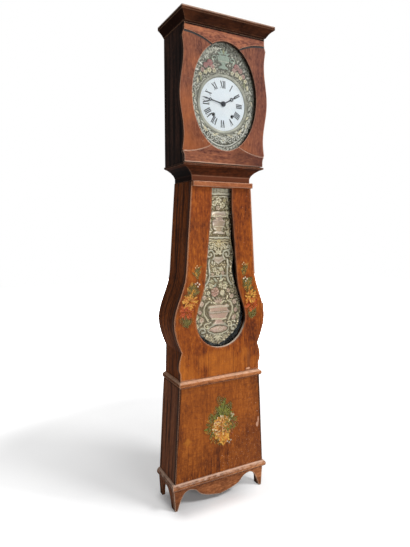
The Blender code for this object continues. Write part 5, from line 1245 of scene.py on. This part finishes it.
class Spray(Sheet):
    """Brush strokes laid one over another on a flat front."""

    def __init__(self, front, seed):
        super().__init__()
        self.front = front
        self.chance = random.Random(seed)
        self.layer = 0

    def stroke(self, at, length, width, turn, root, tip, bend=0.0, steps=7):
        """Tapered stroke from a point, turned clockwise from straight up; its colour runs from root to tip.

        The fourth part of a colour is how far the stroke covers the wood.
        """
        self.layer += 1
        lift = 0.00022 + 0.000006 * self.layer
        left, right, tints = [], [], []
        for i in range(steps):
            share = i / (steps - 1)
            heading = math.radians(turn + bend * share)
            x = at[0] + length * share * math.sin(heading)
            z = at[1] + length * share * math.cos(heading)
            half = width / 2 * (0.12 + math.sin(math.pi * min(share * 0.86 + 0.10, 1.0)) ** 0.8)
            sx, sz = math.cos(heading) * half, -math.sin(heading) * half
            left.append(((x - sx, self.front - lift, z - sz), (x - sx, self.front + 0.0002, z - sz)))
            right.append(((x + sx, self.front - lift, z + sz), (x + sx, self.front + 0.0002, z + sz)))
            shade = 0.88 + 0.24 * self.chance.random()
            mixed = [a + (b - a) * share for a, b in zip(root, tip)]
            tints.append((*(part * shade for part in mixed[:3]), mixed[3]))
        self.strip(left, right, tints)

    def clump(self, at, reach, count, length, width, tints, squash=1.0, heading=None):
        """Loose dabs round a point, pointing outwards or all one way, as a half-dry brush leaves them."""
        for i in range(count):
            turn = 137.5 * i + self.chance.uniform(-25, 25)
            out = reach * math.sqrt((i + 0.5) / count)
            x = at[0] + out * math.sin(math.radians(turn))
            z = at[1] + squash * out * math.cos(math.radians(turn))
            root, tip = self.chance.choice(tints)
            way = (turn if heading is None else heading) + self.chance.uniform(-40, 40)
            grow = self.chance.uniform(0.6, 1.3)
            self.stroke((x, z), length * grow, width * grow, way, root, tip, self.chance.uniform(-30, 30))

    def fan(self, at, turns, length, width, tints):
        """Thin blades spread from one root."""
        for turn in turns:
            root, tip = self.chance.choice(tints)
            spot = (at[0] + self.chance.uniform(-0.010, 0.010), at[1] + self.chance.uniform(-0.008, 0.008))
            long = length * self.chance.uniform(0.5, 1.15)
            wide = width * self.chance.uniform(0.6, 1.3)
            self.stroke(spot, long, wide, turn, root, tip, self.chance.uniform(-25, 25))

    def buds(self, at, offsets, size, root, tip):
        for dx, dz in offsets:
            for i in range(4):
                self.stroke((at[0] + dx, at[1] + dz), size, size * 0.85, 90 * i + 30, root, tip, 0.0, 5)

    def dry(self, name, material, body):
        """The finished strokes as one piece on a body."""
        attributes = {"tint": ("FLOAT_COLOR", self.tints)}
        outward(piece(name, self.verts, self.faces, material, body, False, attributes))


def thin(red, green, blue, cover):
    return (*tone(red, green, blue)[:3], cover)


WHITE = thin(232, 214, 186, 0.9)
PALE = thin(236, 182, 78, 0.85)
YELLOW = thin(216, 148, 42, 0.8)
ORANGE = thin(206, 108, 26, 0.65)
RED = thin(196, 66, 22, 0.55)
RUST = thin(206, 90, 26, 0.55)
MOSS = thin(96, 84, 28, 0.6)
SAGE = thin(132, 118, 42, 0.6)
GREEN = thin(80, 96, 24, 0.78)
FRESH = thin(136, 134, 38, 0.8)
MIST = thin(92, 104, 44, 0.30)
BUD = thin(150, 146, 134, 0.9)
MADDER = thin(136, 62, 42, 0.8)
OLIVES = ((MOSS, SAGE), (SAGE, MOSS), (MOSS, YELLOW))
SUNNY = ((ORANGE, PALE), (YELLOW, PALE), (RUST, YELLOW), (PALE, YELLOW))
EMBERS = ((RED, RUST), (RUST, RED), (RUST, ORANGE))
GILT = ((YELLOW, PALE), (PALE, WHITE), (SAGE, YELLOW), (RUST, PALE), (YELLOW, SAGE))
BLADES = ((GREEN, FRESH), (FRESH, GREEN), (GREEN, SAGE), (MOSS, FRESH))


def trunk_flowers(material):
    """A spray down either side of the trunk door's opening."""
    spray = Spray(DOOR_FRONT, 11)
    sides = (
        (-1, (0.136, 1.208), (0.134, 1.171), (0.134, 1.128), (0.157, 1.088), (0.175, 1.043), (0.194, 0.993),
         (0.189, 0.935)),
        (1, (0.127, 1.215), (0.130, 1.176), (0.137, 1.140), (0.152, 1.100), (0.174, 1.046), (0.177, 1.002),
         (0.183, 0.948)),
    )
    for side, *stalk in sides:
        stalk = [(side * x, z) for x, z in stalk]
        for (ax, az), (bx, bz) in zip(stalk, stalk[1:]):
            turn = math.degrees(math.atan2(bx - ax, bz - az))
            spray.stroke((ax, az), math.hypot(bx - ax, bz - az), 0.0022, turn, MOSS, SAGE)
        first, upper, white, lower, big, red, foot = stalk
        spray.clump(foot, 0.018, 8, 0.034, 0.024, ((MIST, MIST),), 1.2, 0)
        spray.clump(lower, 0.018, 8, 0.034, 0.022, ((MIST, MIST),), 1.2, 0)
        spray.clump(foot, 0.016, 20, 0.022, 0.010, OLIVES[:2], 1.3, 0)
        spray.clump(lower, 0.022, 26, 0.026, 0.011, OLIVES, 1.2, 0)
        spray.clump(upper, 0.013, 18, 0.022, 0.008, OLIVES, 1.9, 0)
        spray.clump(red, 0.026, 44, 0.018, 0.0075, EMBERS, 0.8)
        spray.clump((big[0], big[1] + 0.026), 0.016, 16, 0.018, 0.006, OLIVES, 0.8)
        spray.clump(big, 0.022, 56, 0.022, 0.0052, SUNNY, 0.9)
        cluster = (0.0, 0.004), (0.011, -0.004), (-0.010, -0.001), (0.003, -0.014)
        spray.buds(white, cluster, 0.0046, WHITE, WHITE)
        spray.buds(first, ((0.0, 0.005), (-0.008, -0.003), (0.007, -0.004)), 0.0034, WHITE, PALE)
    spray.dry("trunk_flowers", material, "trunk_door")


def base_flowers(material):
    """A bouquet in the middle of the base panel."""
    spray = Spray(PANEL_FRONT, 23)
    spray.clump((0.012, 0.462), 0.034, 16, 0.046, 0.030, ((MIST, MIST),), 1.3, 0)
    spray.clump((0.000, 0.386), 0.060, 22, 0.040, 0.030, ((MIST, MIST),), 1.1)
    spray.fan((0.010, 0.448), range(-66, 67, 4), 0.054, 0.0105, BLADES)
    spray.fan((0.012, 0.478), (-8, -3, 2, 7, 12, 20, -16), 0.052, 0.0085, BLADES)
    spray.clump((-0.046, 0.396), 0.028, 40, 0.022, 0.0085, BLADES + OLIVES, 1.8)
    spray.clump((0.050, 0.404), 0.026, 44, 0.024, 0.0090, BLADES, 1.3)
    spray.clump((-0.026, 0.336), 0.022, 16, 0.020, 0.0055, OLIVES, 1.0)
    spray.clump((0.072, 0.396), 0.010, 9, 0.012, 0.0050, ((MADDER, RUST),))
    spray.clump((0.056, 0.344), 0.012, 9, 0.014, 0.0050, ((MADDER, ORANGE),))
    spray.clump((0.004, 0.380), 0.044, 170, 0.018, 0.0085, GILT, 1.25)
    spray.clump((0.016, 0.334), 0.026, 40, 0.024, 0.0070, ((ORANGE, YELLOW), (YELLOW, PALE)), 1.0, 170)
    spray.clump((0.004, 0.394), 0.040, 60, 0.012, 0.0034, ((PALE, WHITE), (RUST, ORANGE)), 1.2)
    spray.clump((0.004, 0.378), 0.010, 8, 0.008, 0.0040, ((MADDER, ORANGE),))
    spray.clump((0.040, 0.388), 0.016, 12, 0.018, 0.0060, BLADES, 1.2)
    cluster = (0.0, 0.004), (0.012, -0.002), (0.004, -0.010), (-0.052, 0.0)
    spray.buds((0.060, 0.440), cluster, 0.0056, FRESH, WHITE)
    spray.buds((0.048, 0.292), ((0.0, 0.0), (-0.012, 0.010), (0.010, 0.012)), 0.0044, BUD, WHITE)
    spray.dry("base_flowers", material, "case")


# Weight lines

def twisted_line(name, material):
    """Laid line from drum to weight, at the length it has in the model."""
    low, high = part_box(name)
    centre = ((low.x + high.x) / 2, (low.y + high.y) / 2)
    radius = (high.x - low.x) / 2
    rings, count = 420, 9
    verts, faces = [], []
    for i in range(rings):
        z = low.z + (high.z - low.z) * i / (rings - 1)
        for k in range(count):
            angle = 2 * math.pi * k / count
            r = radius * (0.80 + 0.20 * abs(math.cos(1.5 * angle - z * 340)))
            verts.append((centre[0] + r * math.cos(angle), centre[1] + r * math.sin(angle), z))
    for i in range(rings - 1):
        for k in range(count):
            j = (k + 1) % count
            faces.append((i * count + k, i * count + j, (i + 1) * count + j, (i + 1) * count + k))
    faces.append(tuple(reversed(range(count))))
    faces.append(tuple((rings - 1) * count + k for k in range(count)))
    obj = piece(name + "_laid", verts, faces, material, "case", True)
    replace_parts(obj, name)
    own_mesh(obj)


# Studio

FLOOR_GLOW = 0.08


def studio_sky(scene):
    """White all round to the camera, and a weak even fill for the object."""
    world = bpy.data.worlds.new("Studio")
    world.use_nodes = True
    scene.world = world
    sky = Finish("", world.node_tree)
    rays = sky.node("ShaderNodeLightPath")
    seen = {socket.name: Value(sky, socket) for socket in rays.socket.node.outputs}
    direct = seen["Is Camera Ray"].math("MAXIMUM", seen["Is Transmission Ray"])
    soft = sky.node("ShaderNodeBackground", None, [tone(255, 255, 255), 0.24])
    white = sky.node("ShaderNodeBackground", None, [tone(255, 255, 255), 1.0])
    mixed = sky.node("ShaderNodeMixShader", None, [direct, soft, white])
    sky.node("ShaderNodeOutputWorld", None, [mixed])


def studio_lamps(scene):
    """A broad key light from the upper right, and softer ones from the front and from above."""
    lamps = (
        ("Key", (2.62, -3.18, 5.0), (0.0, -0.1, 1.0), 1.6, 184.0),
        ("Front", (0.4, -4.4, 1.6), (0.0, 0.0, 1.1), 2.0, 75.0),
        ("Top", (0.3, -0.8, 5.0), (0.0, 0.0, 0.0), 3.0, 34.0),
    )
    for name, at, target, size, power in lamps:
        light = bpy.data.lights.new(name, "AREA")
        light.shape = "DISK"
        light.size = size
        light.energy = power
        lamp = bpy.data.objects.new(name, light)
        scene.collection.objects.link(lamp)
        aim = (Vector(target) - Vector(at)).to_track_quat("-Z", "Y")
        lamp.matrix_world = Matrix.Translation(at) @ aim.to_matrix().to_4x4()


def studio_floor(scene):
    """Pale floor that fades to white; its glow to the camera paints light where the floor is lit and lifts
    the far shadow, and stops under the clock as a painted contact shadow.
    """
    f = Finish("pale_floor")
    place = f.place()
    x, y, _ = f.axes(place)
    grain = f.noise(place, 3.0, 3.0, 0.5)
    distance = (x * x + y * y).math("SQRT")
    # Painted light: the glow grows with distance from the clock, lifting the far part of its shadow.
    far = f.step(distance, 1.3, 3.2) * 0.86 + f.step(distance, 0.35, 1.3) * 0.04
    # Painted pool of light where the floor in front and to the right is lit.
    painted_lit_zone = (0 - y).math("MAXIMUM", (y + x * 0.9) * -1.2 - 0.24)
    far = far + f.step(painted_lit_zone, 0.10, 0.26).math("MAXIMUM", f.step(x, 0.25, 0.45)) * 0.03
    # Painted contact shadow: no glow under the clock.
    under = (1 - f.step(x, 0.04, 0.24)) * (1 - f.step(0 - x, 0.22, 0.31)) * (1 - f.step(abs(y), 0.07, 0.16))
    pale = f.ramp(grain, (0.3, tone(240, 240, 241)), (0.7, tone(247, 247, 247)))
    matt = f.node("ShaderNodeBsdfDiffuse", None, [pale])
    glow = f.node("ShaderNodeEmission", None, [tone(255, 255, 255), 4.2])
    rays = f.node("ShaderNodeLightPath")
    seen = Value(f, rays.socket.node.outputs["Is Camera Ray"])
    share = seen * (far + FLOOR_GLOW - under * FLOOR_GLOW)
    f.output(f.node("ShaderNodeMixShader", None, [share, matt, glow]))
    mesh = bpy.data.meshes.new("floor")
    mesh.from_pydata([(-9, -9, 0), (9, -9, 0), (9, 9, 0), (-9, 9, 0)], [], [(0, 1, 2, 3)])
    mesh.materials.append(f.material)
    floor = bpy.data.objects.new("floor", mesh)
    scene.collection.objects.link(floor)


def studio_camera(scene):
    lens = bpy.data.cameras.new("Camera")
    lens.sensor_fit = "VERTICAL"
    lens.sensor_height = SENSOR
    lens.lens = FOCAL_PIXELS * SENSOR / IMAGE_HEIGHT
    lens.clip_end = 60.0
    camera = bpy.data.objects.new("Camera", lens)
    camera.location = CAMERA_AT
    camera.rotation_euler = (math.pi / 2 + CAMERA_PITCH, 0.0, -CAMERA_YAW)
    scene.collection.objects.link(camera)
    scene.camera = camera


def dress_nodes():
    """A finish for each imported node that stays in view."""
    hood = (tone(75, 38, 29), tone(113, 65, 47), tone(134, 80, 56), tone(160, 98, 64))
    warm = (tone(92, 48, 36), tone(139, 81, 58), tone(164, 100, 68), tone(190, 119, 79))
    base = (tone(76, 34, 11), tone(118, 59, 18), tone(141, 75, 23), tone(168, 95, 34))
    soot = (tone(26, 15, 12), tone(48, 30, 24), tone(66, 41, 32), tone(92, 58, 44))
    umber = (tone(74, 35, 12), tone(116, 58, 20), tone(142, 73, 26), tone(168, 91, 35))
    earth = (tone(90, 51, 31), tone(127, 75, 48), tone(149, 91, 57), tone(172, 110, 72))
    tan = (tone(96, 56, 34), tone(138, 86, 52), tone(165, 108, 69), tone(202, 142, 98))
    honey = (tone(102, 56, 28), tone(146, 86, 46), tone(172, 106, 60), tone(206, 138, 86))
    dusty = (tone(82, 43, 24), tone(124, 71, 39), tone(150, 91, 52), tone(186, 121, 78))
    lath = (tone(104, 56, 34), tone(138, 78, 46), tone(156, 94, 58), tone(174, 112, 74))
    greyed = (tone(32, 15, 9), tone(50, 25, 14), tone(64, 33, 18), tone(84, 46, 26))
    neck = (tone(40, 17, 7), tone(62, 29, 13), tone(78, 37, 17), tone(98, 48, 24))
    pale = tone(206, 160, 132)
    rail = hood_wood("rail_paint", warm, pale, ACROSS)
    stile = hood_wood("stile_paint", hood, pale, UPRIGHT)
    lip = lip_wood("lip_paint", hood, tone(214, 176, 152))
    hood_side = case_side_wood("hood_side_paint", soot, tone(92, 66, 56))
    roof = painted_wood("roof_paint", soot, tone(92, 66, 56), grain=ACROSS, wear=0.6, gloss=0.6)
    trunk_side = case_side_wood("trunk_side_paint", umber, tone(140, 108, 84))
    base_side = case_side_wood("base_side_paint", earth, tone(150, 116, 94))
    panel = panel_wood("base_paint", base, pale)
    skirt = painted_wood("skirt_paint", dusty, tone(214, 184, 160), grain=ACROSS, wear=1.3, floor_dark=True)
    foot = moulding_wood("foot_paint", tan, tone(242, 210, 188))
    waist = moulding_wood("waist_paint", honey, tone(240, 200, 170))
    top_lath = painted_wood("lath_paint", lath, pale, grain=ACROSS, top=0.6)
    top = cornice_wood("cornice_paint", greyed)
    cove = cove_wood("cove_paint", neck)
    iron = turned_metal("forged_iron", tone(30, 28, 27), tone(64, 60, 56), 0.5, 0.8)
    steel = turned_metal("dark_steel", tone(36, 37, 41), tone(78, 80, 86), 0.32, 0.8)
    brass = turned_metal("clock_brass", tone(150, 112, 50), tone(206, 168, 90), 0.26, 1.0)
    drum = turned_metal("drum_brass", tone(150, 112, 50), tone(206, 168, 90), 0.26, 1.0, DRUM_FRONT)
    finishes = {
        "hood_top_rail": rail, "hood_bottom_rail": lip, "trunk_top_lath": top_lath,
        "hood_stile_left": stile, "hood_stile_right": stile,
        "trunk_door": door_wood("trunk_door_paint"),
        "base_front_panel": panel, "skirt_front": skirt,
        "base_side_left": base_side, "base_side_right": base_side,
        "skirt_left": base_side, "skirt_right": base_side,
        "hood_side_left": hood_side, "hood_side_right": hood_side, "roof_board": roof,
        "trunk_side_left": trunk_side, "trunk_side_right": trunk_side,
        "neck_cove": cove, "cornice": top,
        "waist_bead": waist, "foot_moulding": foot,
        "going_drum": drum, "strike_drum": drum,
        "enamel_dial": white_enamel("dial_enamel"),
        "bell": turned_metal("bell_bronze", tone(120, 90, 44), tone(176, 140, 78), 0.24, 1.0),
    }
    boards = plain_boards("bare_boards")
    finishes["back_board"] = finishes["seat_board"] = boards
    glass = window_glass("old_glass")
    finishes["hood_glass"] = finishes["trunk_glass"] = glass
    by_slot = {"forged_iron": iron, "dark_steel": steel, "clock_brass": brass}
    for row in frame["record"]["subparts"]:
        finishes.setdefault(row["node"], by_slot.get(row["material_slot"], iron))
    for name, obj in NODES.items():
        obj.data.materials.clear()
        obj.data.materials.append(finishes[name])


def main():
    kept = set(NODES.values()) | set(frame["bodies"].values())
    for obj in list(bpy.data.objects):
        if obj not in kept:
            bpy.data.objects.remove(obj)
    scene = bpy.context.scene
    scene.view_settings.view_transform = "Standard"
    studio_sky(scene)
    studio_lamps(scene)
    studio_floor(scene)
    studio_camera(scene)
    dress_nodes()
    bob_tones = tone(114, 102, 75), tone(206, 187, 144), tone(230, 215, 176), tone(255, 250, 230)
    surround_tones = tone(98, 97, 88), tone(158, 158, 145), tone(188, 188, 174), tone(240, 240, 232)
    embossed_bob(embossed_brass("bob_brass", *bob_tones, shine=0.85, dull=0.24))
    embossed_surround(embossed_brass("surround_brass", *surround_tones, shine=0.55, dull=0.42))
    hood_joints()
    black = dial_black("dial_black")
    numerals(black)
    winding_rims(black)
    tree = bead_tree()
    dots = [(ring_points(MINUTE_RING, 240, 0.0001), True)]
    beads("minute_dots", tree, dots, 2 * math.pi * MINUTE_RING / 60, 0.0007, black, "case")
    paint = brushed_paint("flower_paint")
    trunk_flowers(paint)
    base_flowers(paint)
    hemp = twisted_hemp("laid_hemp")
    twisted_line("going_line", hemp)
    twisted_line("strike_line", hemp)


main()
